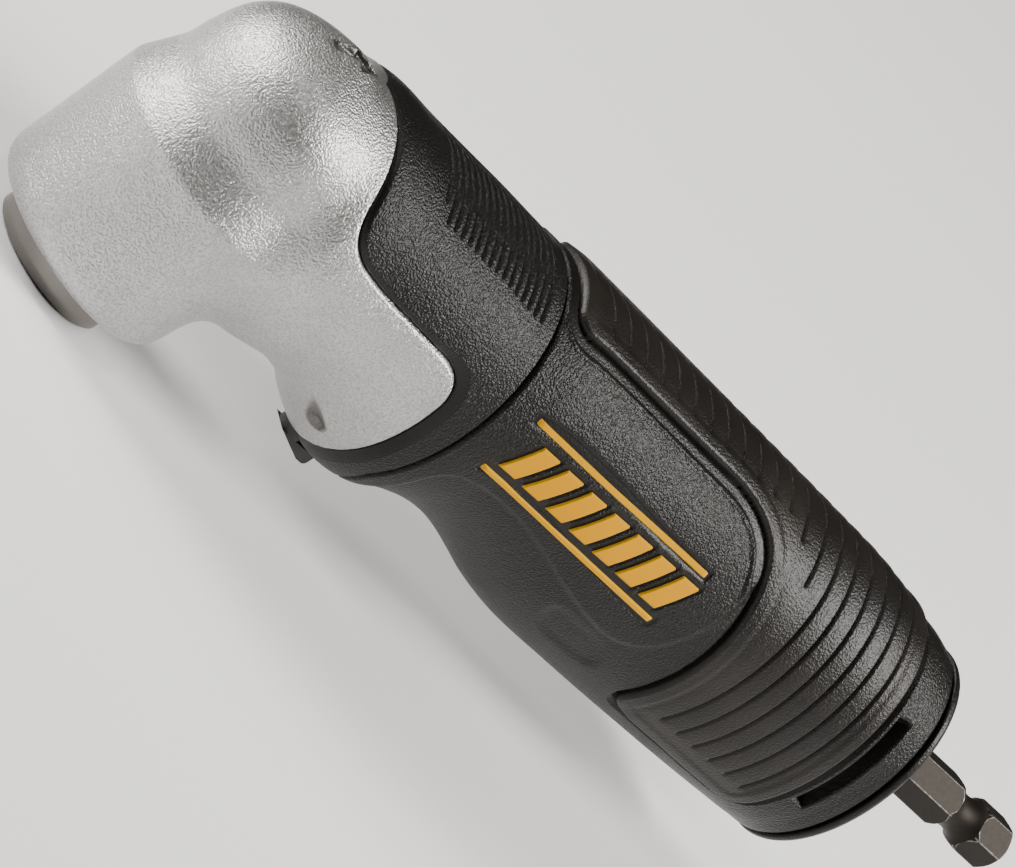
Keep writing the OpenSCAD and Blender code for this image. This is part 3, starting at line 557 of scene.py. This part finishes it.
grip_front_x, grip_step_x, grip_rear_x = 46.4, 96.1, 122.8
grip_outline = rounded([
    (grip_front_x, 2 * quarter, 0), (grip_front_x, at_height(46, 15.5), 3.4),
    (89.5, at_height(89.5, 15.0), 10), (grip_step_x, at_height(96, 2), 12),
    (grip_step_x + 0.4, at_height(96.5, -15.8), 3.0),
    (grip_rear_x, at_height(122.5, -15.8), 5), (grip_rear_x, 2 * quarter, 0)])
# Grooves of the grip: place, and the angle that each one ends at
grooves = ([(118.7 - 3.34 * k, -33) for k in range(6)] + [(98.4, 46), (94.5, 60)]
           + [(91.0 - 3.54 * k, 67) for k in range(12)])

panel_front_x, panel_rear_x = 30, 92.4
panel_outline = rounded([
    (panel_front_x, 2 * quarter, 0), (panel_front_x, -2 * quarter, 0), (47.4, -2 * quarter, 0),
    (46.9, at_height(47, -5.6), 3.5), (88.0, at_height(88, -8.4), 6),
    (panel_rear_x, at_height(92, 2), 8), (panel_rear_x, 2 * quarter, 0)])
thumb_outline = rounded([
    (75.2, at_height(76, -9.2), 4), (87.2, at_height(86, -9.2), 4),
    (90.8, at_height(90, -14.2), 4), (79.0, at_height(79, -15.0), 4)])

slot_x0, slot_x1, slot_top, slot_low = 124.5, 126.7, 8.4, -8.3
shell_end_x = 131.05
# Gap between a moulding's end and its joint, and the rounding of that end
joint_gap, joint_round, joint_depth = 0.12, 0.3, 1.1


def seam_at(angle):
    """Place of the joint between collar and handle at an angle on the side."""
    down = np.clip((-np.degrees(angle) - seam_bend_deg) / (90 - seam_bend_deg), 0, 1)
    return seam_x + seam_sweep * down**1.2


def top_side(angle):
    """Angle above the side of the body, alike on both sides."""
    return np.arcsin(np.clip(np.sin(angle), -1, 1))


def land_corners():
    """Side view corners of the two stripes and the slanted bars between them."""
    line_half = 0.42
    front_x, rear_x = 48.8, 85.2
    fall = 0.014
    lands = []
    for front_z, rear_z in ((6.6, 6.1), (-1.9, -2.4)):
        lands.append([(front_x, front_z - line_half), (rear_x, rear_z - line_half),
                      (rear_x, rear_z + line_half), (front_x, front_z + line_half)])
    count, slant, bar, pitch = 7, 2.4, 3.3, 5.0
    for k in range(count):
        x = 50.2 + pitch * k
        low, high = -0.6 - fall * (x - 50), 4.9 - fall * (x - 50)
        lands.append([(x, low), (x + bar, low), (x + bar + slant, high), (x + slant, high)])
    return lands


# Nylon and rubber of the body

def collar_places(columns, rows):
    """Grid of x and v that fans out from the casting's edge to the seam."""
    edge = np.array(casting_edge)
    run = np.concatenate([[0], np.cumsum(np.hypot(*np.diff(edge, axis=0).T))])
    along = np.linspace(0, run[-1], columns)
    front_x = np.interp(along, run, edge[:, 0])
    front_v = np.interp(along, run, edge[:, 1])
    # Columns at the bends of the casting's edge, and where they meet the seam
    corner = int(np.argmax(front_v < girth_r * 0.06))
    bends = [0, int(np.argmax(front_v < arc(33))), int(np.argmax(front_x > 13)),
             int(np.argmax(front_x > 33)), corner]
    seam_v = [quarter, arc(46), arc(31), arc(12), front_v[corner]]
    back_v = np.interp(np.arange(columns), bends, seam_v)
    back_v = np.where(np.arange(columns) > corner, front_v, back_v)
    t = np.linspace(0, 1, rows)[:, None]**1.3
    v = front_v + (back_v - front_v) * t
    x = front_x + (seam_at(v / girth_r) - front_x) * t
    return x, v


def collar_ribs(x, v):
    """Depth of the valleys between the short ribs on top of the collar."""
    count, first_x, pitch, depth = 16, 18.4, 1.48, 0.50
    valleys = 0
    for k in range(count):
        end = arc(60 if k == 0 else 52.5)
        line = notch(x - (first_x + pitch * k), 0.30, 0.62)
        valleys = valleys + depth * line**1.3 * smooth_step(end - 0.3, end + 0.6, v)
    return valleys


def latch_recess(x, v):
    """Depth of the room that the latch's tab goes into when it is pressed."""
    front_x, rear_x, half_wide, depth = 39.3, 47.1, 2.8, 1.7
    inside = np.minimum(np.minimum(x - front_x, rear_x - x),
                        half_wide - np.abs(body_half(x) * np.cos(v / girth_r)))
    return depth * smooth_step(-0.1, 0.25, inside) * (v < 0)


def collar():
    """Nylon collar whose mesh runs from the casting's edge to the seam."""
    columns, rows, wall = 330, 340, 3.0
    band_w, band_growth, band_depth, edge_depth = 1.5, 1.1, 0.50, 1.0
    x, v = collar_places(columns, rows)
    gap = outline_distance(x, v, casting_outline)
    # Sunk band along the casting's edge, wider round the lobe
    band = band_w + band_growth * smooth_step(29, 37, x) * smooth_step(9, 5, v)
    rise = -band_depth * smooth_step(band, 0.3, gap)
    rise -= edge_depth * smooth_step(0.95, 0.5, gap)
    rise -= collar_ribs(x, v)
    rise -= rounded_fall(joint_depth, joint_round, seam_at(v / girth_r) - x - joint_gap)
    rise -= latch_recess(x, v)
    grain = 0.25 + 0.75 * smooth_step(band - 0.3, band + 0.1, gap)
    inner_front = skin(x[0], v[0] / girth_r, np.full(columns, -wall))[None]
    inner_back = skin(x[-1], v[-1] / girth_r, np.full(columns, -wall))[None]
    side = np.concatenate([inner_front, skin(x, v / girth_r, rise), inner_back])
    grain = np.concatenate([grain[:1], grain, grain[-1:]])
    other = side[:, ::-1][:, 1:-1] * np.array([1, -1, 1])
    points = np.concatenate([side, other], 1)
    grain = np.concatenate([grain, grain[:, ::-1][:, 1:-1]], 1)
    faces = grid_faces(len(side), points.shape[1], closed_rows=True, flip=True)
    return piece("collar_moulding", points.reshape(-1, 3), faces, nylon, {"grain": grain})


def handle_shell():
    """Nylon handle with its side panels, thumb dishes and tail slots."""
    panel_depth, thumb_depth, ledge_rise, ledge_depth = 0.50, 0.30, 0.24, 0.32
    under_grip, slot_depth, land_depth, wall = 1.3, 2.5, 0.12, 3.2
    x, angle, v = body_grid(seam_at, shell_end_x, 470, 440)
    gap = outline_distance(x, v, grip_outline)
    panel = outline_distance(x, v, panel_outline)
    rise = -panel_depth * smooth_step(-0.5, 0.6, panel)
    rise -= thumb_depth * smooth_step(0.6, -1.4, outline_distance(x, v, thumb_outline))

    # Sunk strip round the grip, wider beside the upper panel, with a lip outside it
    ledge = 0.9 + 1.1 * smooth_step(93.5, 90.0, x) * smooth_step(-30, 30, np.degrees(v / girth_r))
    strip = smooth_step(ledge + 0.12, ledge - 0.12, gap)
    lip = np.clip(1 - np.abs(gap - ledge - 0.45) / 0.45, 0, 1) * (gap > 0)
    rise += ledge_rise * smooth_step(0, 1, lip) * smooth_step(-0.4, -1.0, panel)
    rise -= ledge_depth * strip
    rise -= under_grip * smooth_step(0.5, 0.3, gap)

    rise -= rounded_fall(joint_depth, joint_round, x - joint_gap - seam_at(v / girth_r))
    rise -= rounded_fall(0.8, 0.45, shell_end_x - x)
    slot_v = np.minimum(girth_r * lift(x, slot_top) - v, v - girth_r * lift(x, slot_low))
    slot = np.minimum(np.minimum(x - slot_x0, slot_x1 - x), slot_v)
    rise -= slot_depth * smooth_step(-0.12, 0.12, slot)

    around_land = np.full(x.shape, 9.0)
    for corners in land_corners():
        around_land = np.minimum(around_land, outline_distance(x, v, unrolled(corners)))
    rim = smooth_step(0.55, 0.3, around_land)
    rise -= land_depth * rim
    grain = (1 - 0.55 * strip) * (1 - 0.9 * rim) * (1 - smooth_step(-0.1, 0.1, slot))
    return tube_piece("handle_moulding", x, angle, rise, nylon, {"grain": grain}, wall)


def rubber_grip():
    """Grip with a rounded border, short ribs on top and long ribs aft."""
    border_rise, border_reach, border_depth = 0.10, 0.75, 1.3
    field_depth, valley_depth, under_shell = 0.16, 0.30, 1.9
    groove_depth, lap_depth, lap_reach = 0.50, 0.26, 2.8
    x, angle, v = body_grid(grip_front_x - 0.5, grip_rear_x + 0.4, 640, 440)
    depth = -outline_distance(x, v, grip_outline)
    edge = np.clip(depth / border_reach, 0, 1)
    # Quarter round border, then a slightly lower field and a valley beside the shell
    rise = border_rise - border_depth * (1 - np.sqrt(1 - (1 - edge)**2))
    rise -= field_depth * smooth_step(1.9, 2.9, depth)
    valley = smooth_step(4.6, 0.2, depth) * smooth_step(101.5, 98.5, x) * smooth_step(15.5, 11, v)
    rise -= valley_depth * valley
    # Each groove has a steep front, a softer rear and a long lap behind it
    for groove_x, end_deg in grooves:
        end = arc(end_deg)
        fade = smooth_step(end - 0.2, end + 0.8, v)
        side = x - groove_x
        line = notch(side, 0.26, 0.60)
        lap = np.clip(1 - side / lap_reach, 0, 1) * (side > 0)
        rise -= fade * (groove_depth * line**1.2 + lap_depth * lap**2)
    rise = np.where(depth < 0, -under_shell, rise)
    grain = 0.3 + 0.7 * smooth_step(0.1, 0.8, depth)
    points = skin(x, angle, rise)
    faces = grid_faces(len(x), x.shape[1])
    keep = depth > -1.2
    faces = faces[keep.ravel()[faces].any(1)]
    return piece("grip_moulding", points.reshape(-1, 3), faces, rubber, {"grain": grain})


def tail_cap():
    """Smooth nylon cap, rounded into a flat end round the shank hole."""
    count = 420
    angle = full_turn(count)
    joint_x = shell_end_x + 0.35
    side_x = joint_x + 0.15
    round_x = tail_x - 1.1
    hole_r = 4.8
    dish_depth = 0.35
    # Inner wall, front edge and side
    rows = [skin(np.full(count, joint_x), angle, rise) for rise in (-3.0, -0.7, -0.25)]
    for t in np.linspace(0, 1, 7):
        rows.append(skin(np.full(count, side_x + (round_x - side_x) * t), angle, -0.12 * (1 - t)))
    # Quarter round into the end face
    round_r = tail_x - round_x
    for a in np.linspace(0, math.pi / 2, 9)[1:]:
        row = skin(np.full(count, round_x), angle, -round_r * (1 - math.cos(a)))
        row[:, 0] = round_x + round_r * math.sin(a)
        rows.append(row)
    # End face with its shallow dish, then the hole
    rim = rows[-1]
    hole = np.stack([np.full(count, tail_x), hole_r * np.cos(angle),
                     axis_z + hole_r * np.sin(angle)], 1)
    for t in np.linspace(0, 1, 14)[1:]:
        row = rim + (hole - rim) * t
        row[:, 0] = tail_x - dish_depth * (smooth_step(0.12, 0.2, t) - smooth_step(0.78, 0.84, t))
        rows.append(row)
    for deep in (0.3, 3.0, 8.0):
        rows.append(hole - np.array([deep, 0, 0]))
    points = np.array(rows)
    grain = np.full(points.shape[:2], 0.45)
    faces = grid_faces(len(points), count)
    return piece("tail_moulding", points.reshape(-1, 3), faces, nylon, {"grain": grain})


# The cast head, in heights over the drive axis

nose_r, shoulder_r, dome_r = 14.4, 15.45, 13.6
nose_z, shoulder_z, shoulder_top_z, dome_top_z = -23.2, -3.1, 2.3, 18.9
dome_base_z = shoulder_top_z + 0.7

# Profile of the dome over its base, as shares of its radius and its height
dome_shares = np.array([
    [1.000, 0.000], [1.000, 0.131], [0.986, 0.261], [0.964, 0.390], [0.919, 0.513],
    [0.846, 0.622], [0.752, 0.713], [0.646, 0.783], [0.534, 0.840], [0.419, 0.889],
    [0.301, 0.932], [0.175, 0.975], [0.080, 0.995], [0.000, 1.000]])
dome_steps = np.linspace(0, 1, len(dome_shares))
dome_radius = smooth_table(dome_steps, dome_shares[:, 0])
dome_height = smooth_table(dome_steps, dome_shares[:, 1])


def dome_point(t):
    """Corner of the head's profile at a share of the way up the dome."""
    return (dome_r * float(dome_radius(t)),
            dome_base_z + (dome_top_z - dome_base_z) * float(dome_height(t)), 0)


beyond_axis = -30
barrel_outline = rounded([
    (beyond_axis, nose_z, 0), (nose_r, nose_z, 3.0), (shoulder_r, shoulder_z, 0.4),
    (dome_r + 0.15, shoulder_top_z, 0.6)]
    + [dome_point(t) for t in np.linspace(0.03, 1, 32)] + [(beyond_axis, dome_top_z, 0)], 5)


def barrel_distance(p):
    return outline_distance(np.hypot(p[:, 0], p[:, 1]), p[:, 2], barrel_outline)


def oval_distance(p):
    """Rough distance to the body's skin."""
    top, low, half = body_top(p[:, 0]), body_low(p[:, 0]), body_half(p[:, 0])
    tall = (top + low) / 2
    a, b = p[:, 1] / half, (p[:, 2] - (top - low) / 2) / tall
    q = np.sqrt(a * a + b * b) + 1e-6
    slope = np.sqrt((a / half)**2 + (b / tall)**2) / q + 1e-6
    return np.maximum((q - 1) / slope, -9)


def smooth_union(a, b, blend):
    h = np.clip(0.5 + 0.5 * (b - a) / blend, 0, 1)
    return b + (a - b) * h - blend * h * (1 - h)


def capsule_distance(p, start, end, r0, r1):
    """Distance to a pin that tapers from r0 to r1."""
    start, end = np.array(start, float), np.array(end, float)
    d = end - start
    t = np.clip(((p - start) @ d) / (d @ d), 0, 1)
    return np.linalg.norm(p - start - t[:, None] * d, axis=1) - (r0 + (r1 - r0) * t)


def head_carving(p):
    """Distances to the teardrop pockets under the lobe and the arrow in the crown."""
    pocket = np.full(len(p), 9.0)
    for q in (p, p * np.array([1, -1, 1])):
        pocket = np.minimum(pocket, capsule_distance(q, (29.2, -11.7, -12.2),
                                                     (34.3, -10.4, -15.6), 0.4, 1.9))
    tail, neck, tip = -6.5, -0.5, 3.2
    shaft_half, head_half = 0.7, 2.3
    arrow = outline_distance(p[:, 0], p[:, 1], [
        (tail, -shaft_half), (neck, -shaft_half), (neck, -head_half), (tip, 0),
        (neck, head_half), (neck, shaft_half), (tail, shaft_half)])
    from_crown = np.maximum(np.abs(p[:, 2] - dome_top_z) - 0.75, 0)
    return pocket, np.maximum(arrow, from_crown - 0.35)


def head_field(p):
    """Distance to the casting's surface, negative inside the metal."""
    sink_at_axis, blend = 3.2, 3.6
    neck = oval_distance(p) + sink_at_axis * smooth_step(9, -1, p[:, 0])
    neck = np.maximum(neck, -p[:, 0])
    shape = smooth_union(barrel_distance(p), neck, blend)
    # Beyond its visible edge the casting steps down under the collar and ends
    step_down, reach_under = 1.1, 2.2
    v = girth_r * lift(p[:, 0], p[:, 2])
    beyond = outline_distance(p[:, 0], np.where(p[:, 0] > -5, v, 0), casting_outline)
    shape = shape + step_down * smooth_step(0.15, 0.9, beyond)
    shape = np.maximum(shape, beyond - reach_under)
    pocket, arrow = head_carving(p)
    return np.maximum(np.maximum(shape, -pocket), -arrow)


def gear_head():
    """Cast head as a mesh of its field."""
    low, high, step = (-16.5, -17.6, -24.4), (42.3, 17.6, 20.2), 0.55
    points, faces = surface_net(head_field, low, high, step)
    points, faces = divided(points, faces)
    pull_onto(head_field, points, 2)
    # Mask of the sunk pockets and crown arrow, where the cast finish paints shade
    carved_shade = smooth_step(0.5, 0.05, np.minimum(*head_carving(points)))
    return piece("head_casting", points + np.array([0, 0, axis_z]), faces, cast,
                 {"carved_shade": carved_shade})


# Steel

def spindle():
    """Output spindle: flange, stepped stem and hex bit socket."""
    socket_half, socket_deep = 6.45 / 2, 13.2
    mouth_r, lead_r, lead_deep = 4.35, 3.75, 0.55
    stem_r, gear_r, race_r, collar_r, flange_r, flange_t = 4.0, 5.0, 6.0, 6.9, 9.2, 4.0
    race_low, race_high = node_box("output_inner_race")
    clip_low, clip_high = node_box("spindle_clip")
    step_z = clip_high[2] + 0.7
    groove_z = clip_high[2] + 0.05
    outer = [(0.01, spindle_top_z), (stem_r - 0.4, spindle_top_z), (stem_r, spindle_top_z - 0.4),
             (stem_r, step_z), (gear_r, step_z), (gear_r, groove_z), (stem_r, groove_z),
             (stem_r, clip_low[2]), (gear_r, clip_low[2]), (gear_r, race_high[2]),
             (race_r, race_high[2]), (race_r, race_low[2]), (collar_r, race_low[2]),
             (collar_r, flange_t), (flange_r - 0.3, flange_t), (flange_r, flange_t - 0.3),
             (flange_r, 0.3), (flange_r - 0.3, 0.0), (mouth_r, 0.0)]
    count = 192
    angle = full_turn(count)
    socket = hexagon(socket_half, angle)
    rings = [(np.full(count, r), z) for r, z in fine_profile(outer, 0.35, 1.5)]
    for t in np.linspace(0, 1, 6)[1:]:
        lead = mouth_r + (lead_r - mouth_r) * t
        opened = np.maximum(socket, lead * (1 - t) + 3.2 * t)
        rings.append((np.minimum(lead, opened), mouth_z + lead_deep * t))
    for deep in (0.6, 1.2, socket_deep * 0.5, socket_deep):
        rings.append((socket, mouth_z + deep))
    rings.append((np.full(count, 0.05), mouth_z + socket_deep))
    points = np.array([np.stack([r * np.cos(angle), r * np.sin(angle), np.full(count, z)], 1)
                       for r, z in rings])
    faces = grid_faces(len(points), count)
    return piece("spindle_nose", points.reshape(-1, 3), faces, flange_steel)


def shank():
    """Input shaft: coupling hex, turned shaft, and hex shank with its waisted groove."""
    half_flat = 6.35 / 2
    shank_turn = math.radians(20)
    corner_r, shaft_r, bearing_r = 3.72, 4.5, 4.0
    coupling_x = node_box("input_shaft")[0][0]
    shaft_x = node_box("pinion_shaft")[1][0] + 0.3
    bearing_x = node_box("rear_inner_race")[0][0]
    turn_x = 121.5
    shank_x = turn_x + 2.0
    groove_x = shank_tip_x - 8.4
    half_groove, waist_r, waist_deep, groove_r = 2.6, 2.45, 1.7, 3.3
    waist = np.radians(np.linspace(-60, 60, 17))
    profile = [(0.01, coupling_x), (3.6, coupling_x), (3.66, coupling_x + 0.3), (3.66, shaft_x),
               (shaft_r, shaft_x), (shaft_r, bearing_x), (bearing_r, bearing_x),
               (bearing_r, shank_x), (corner_r, shank_x + 0.3),
               (corner_r, groove_x - half_groove - 0.75), (groove_r, groove_x - half_groove + 0.15)]
    profile += [(waist_r + waist_deep * (1 - math.cos(a)),
                 groove_x + (half_groove - 0.2) * math.sin(a) / math.sin(waist[-1]))
                for a in waist]
    profile += [(groove_r, groove_x + half_groove - 0.15),
                (corner_r, groove_x + half_groove + 0.75), (corner_r, shank_tip_x - 1.25),
                (2.55, shank_tip_x - 0.08), (2.3, shank_tip_x), (0.01, shank_tip_x)]
    rings = np.array(fine_profile(profile, 0.12, 0.9))
    r, x = rings[:, :1], rings[:, 1:]
    sides = 240
    angle = full_turn(sides)
    turned = np.where(x > turn_x, angle - shank_turn, angle)
    section = np.minimum(hexagon(half_flat, turned), 3.62)
    hexed = (x > shank_x + 0.1) | (x < shaft_x + 0.01)
    radius = np.where(hexed, np.minimum(r, section), r + 0 * angle)
    points = np.stack([x + 0 * radius, radius * np.cos(angle), axis_z + radius * np.sin(angle)], -1)

    # Bright wear on the corners, on the rims of the flats and on the tip
    to_corner = np.abs(turned % (math.pi / 3) - math.pi / 6)
    edge = 0.7 * smooth_step(0.05, 0.0, to_corner) * (radius > groove_r)
    on_rim = smooth_step(0.12, 0.0, np.abs(r - section)) * (np.abs(r - 3.5) < 0.3) * hexed
    edge = np.maximum(edge, 0.5 * on_rim)
    edge = np.maximum(edge, (x > shank_tip_x - 0.15) * 0.6)
    faces = grid_faces(len(points), sides)
    return piece("shank", points.reshape(-1, 3), faces, steel, {"edge": edge})


# Raised lands on the side panels, and the latch's spring

def land_patch(corners, columns, rows):
    """Places, heights, rises and rim mask of one four sided land in the side view."""
    rise, under, rim = 0.22, 0.25, 0.16
    (x0, z0), (x1, z1), (x2, z2), (x3, z3) = corners
    s = np.linspace(0, 1, columns)[:, None]
    t = np.linspace(0, 1, rows)[None, :]
    x = (x0 * (1 - s) + x1 * s) * (1 - t) + (x3 * (1 - s) + x2 * s) * t
    z = (z0 * (1 - s) + z1 * s) * (1 - t) + (z3 * (1 - s) + z2 * s) * t
    length = math.hypot(x1 - x0, z1 - z0)
    height = math.hypot(x3 - x0, z3 - z0)
    border = np.minimum(np.minimum(s, 1 - s) * length, np.minimum(t, 1 - t) * height)
    return x, z, rise - rounded_fall(rise + under, rim, border), smooth_step(0.3, 0.12, border)


def label_lands():
    """Amber stripes and slanted bars, plain and generic, on both sides."""
    columns, rows = 60, 26
    points, faces, edges = [], [], []
    for corners in land_corners():
        x, z, rise, edge = land_patch(corners, columns, rows)
        near = lift(x, z)
        for angle, flip in ((near, False), (math.pi - near, True)):
            first = len(points) * columns * rows
            points.append(skin(x, angle, rise).reshape(-1, 3))
            faces.append(grid_faces(columns, rows, closed_columns=False, flip=flip) + first)
            edges.append(edge.ravel())
    return piece("side_lands", np.concatenate(points), np.concatenate(faces), amber,
                 {"edge": np.concatenate(edges)})


def latch_coil():
    """Return spring round the latch pin, as long as the frame's own spring."""
    low, high = node_box("latch_spring")
    middle_x = (low[0] + high[0]) / 2
    wire, end_wire, turns, sides = 0.25, 0.02, 3.5, 12
    coil_r = (high[0] - low[0]) / 2 - wire
    turn = np.linspace(0, 2 * math.pi * turns, 150)[:, None]
    round_wire = full_turn(sides)[None, :]
    thick = np.full(turn.shape, wire)
    thick[[0, -1]] = end_wire
    reach = coil_r + thick * np.cos(round_wire)
    z = (low[2] + wire + (high[2] - low[2] - 2 * wire) * turn / turn[-1]
         + thick * np.sin(round_wire))
    points = np.stack([middle_x + reach * np.cos(turn), reach * np.sin(turn), z], -1)
    coil = piece("latch_coil", points.reshape(-1, 3), grid_faces(len(turn), sides), clip_steel)
    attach(coil, "housing")
    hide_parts("latch_spring")
    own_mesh(coil)


replaced = [
    (gear_head(), "housing", "gear_head", "cast_aluminium"),
    (collar(), "housing", "collar", "black_nylon"),
    (handle_shell(), "housing", "handle_shell", "black_nylon"),
    (rubber_grip(), "housing", "rubber_grip", "soft_grip"),
    (tail_cap(), "housing", "tail_cap", "black_nylon"),
    (label_lands(), "housing", "side_labels", "label"),
    (spindle(), "output", "output_spindle", "dark_steel"),
    (shank(), "drive", "input_shaft", "dark_steel"),
]
for made, body, node, slot in replaced:
    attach(made, body)
    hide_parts(node)
latch_coil()

# Finishes of the nodes that keep their own shape

inner = [
    (turned_metal("bearing_steel", 0.62),
     ["output_outer_race", "output_inner_race", "output_balls", "pinion_outer_race",
      "pinion_inner_race", "pinion_balls", "rear_outer_race", "rear_inner_race", "rear_balls"]),
    (turned_metal("gear_steel", 0.40, 0.03, 0.32),
     ["crown_gear", "pinion_shaft", "coupling_tube", "pinion_carrier"]),
    (clip_steel,
     ["output_bearing_clip", "spindle_clip", "carrier_clip", "pinion_bearing_clip",
      "pinion_shaft_clip", "rear_bearing_clip"]),
    (turned_metal("magnet_plate", 0.70, 0.01, 0.2), ["bit_magnet"]),
    (turned_metal("bush_bronze", 0.45, 0.30, 0.3),
     ["spindle_top_bush", "front_bush", "output_ball_cage", "pinion_ball_cage",
      "rear_ball_cage"]),
    (plain_plastic("seal_rubber", grey(0.02), grey(0.035)), ["nose_seal", "tail_seal"]),
    (button, ["latch_button"]),
]
for material, names in inner:
    for name in names:
        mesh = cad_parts[name].data
        mesh.materials.clear()
        mesh.materials.append(material)

# Floor, lights and camera; the floor and the lights are sized in metres

floor_reach, floor_drop = 14.0, 0.0002
floor_mesh = bpy.data.meshes.new("floor")
floor_mesh.from_pydata([(-floor_reach, -floor_reach, 0), (floor_reach, -floor_reach, 0),
                        (floor_reach, floor_reach, 0), (-floor_reach, floor_reach, 0)],
                       [], [(0, 1, 2, 3)])
floor = bpy.data.objects.new("floor", floor_mesh)
floor.location.z = -floor_drop
bpy.context.scene.collection.objects.link(floor)
floor_mesh.materials.append(Finish("pale_floor").done(Base_Color=grey(0.9), Roughness=0.9))

world = bpy.data.worlds.new("studio")
bpy.context.scene.world = world
world.use_nodes = True
sky = world.node_tree.nodes["Background"].inputs
sky["Color"].default_value = (1, 1, 1, 1)
sky["Strength"].default_value = 0.03

# View of the photograph: its right, down and away directions in the frame
view_right = Vector((0.56252, -0.18353, 0.80615))
view_down = Vector((0.51999, -0.67953, -0.51754))
view_away = Vector((0.64279, 0.71032, -0.28682))
pixels_per_mm = 8.6
picture_width = 1015
centre = Vector((0, 0, axis_z)) + view_right * 31.92 + view_down * 33.78


def soft_light(name, tilt, aim, side, glow):
    """Square soft light, tilted by degrees off the camera's line towards a picture direction."""
    far = 0.9
    way = (-view_away * math.cos(math.radians(tilt))
           + (view_right * aim[0] - view_down * aim[1]).normalized()
           * math.sin(math.radians(tilt)))
    data = bpy.data.lights.new(name, "AREA")
    data.shape = "SQUARE"
    data.size = side
    data.energy = glow * math.pi * side * side
    data.color = (1, 0.972, 0.94)
    lamp = bpy.data.objects.new(name, data)
    lamp.location = centre * MM + Vector((0.03, 0.03, 0)) + way * far
    lamp.rotation_euler = way.to_track_quat("Z", "Y").to_euler()
    lamp.visible_camera = False
    bpy.context.scene.collection.objects.link(lamp)


soft_light("right", 90, (0.94, -0.34), 0.4, 26)
soft_light("top_left", 72, (-0.26, 0.97), 0.4, 24)
soft_light("high_right", 72, (1.0, 0.1), 0.4, 2.5)
soft_light("spot", 48, (0.68, 0.73), 0.16, 16)
soft_light("behind_top", 90, (0.17, 0.98), 0.4, 5)

camera_data = bpy.data.cameras.new("photo_view")
camera_data.sensor_width = 36
camera_data.lens = 1200
camera_data.clip_end = 60
focal_pixels = camera_data.lens / camera_data.sensor_width * picture_width
distance = focal_pixels / pixels_per_mm
camera = bpy.data.objects.new("photo_view", camera_data)
turn = Matrix((view_right, -view_down, -view_away)).transposed()
camera.matrix_world = Matrix.Translation((centre - view_away * distance) * MM) @ turn.to_4x4()
bpy.context.scene.collection.objects.link(camera)
bpy.context.scene.camera = camera
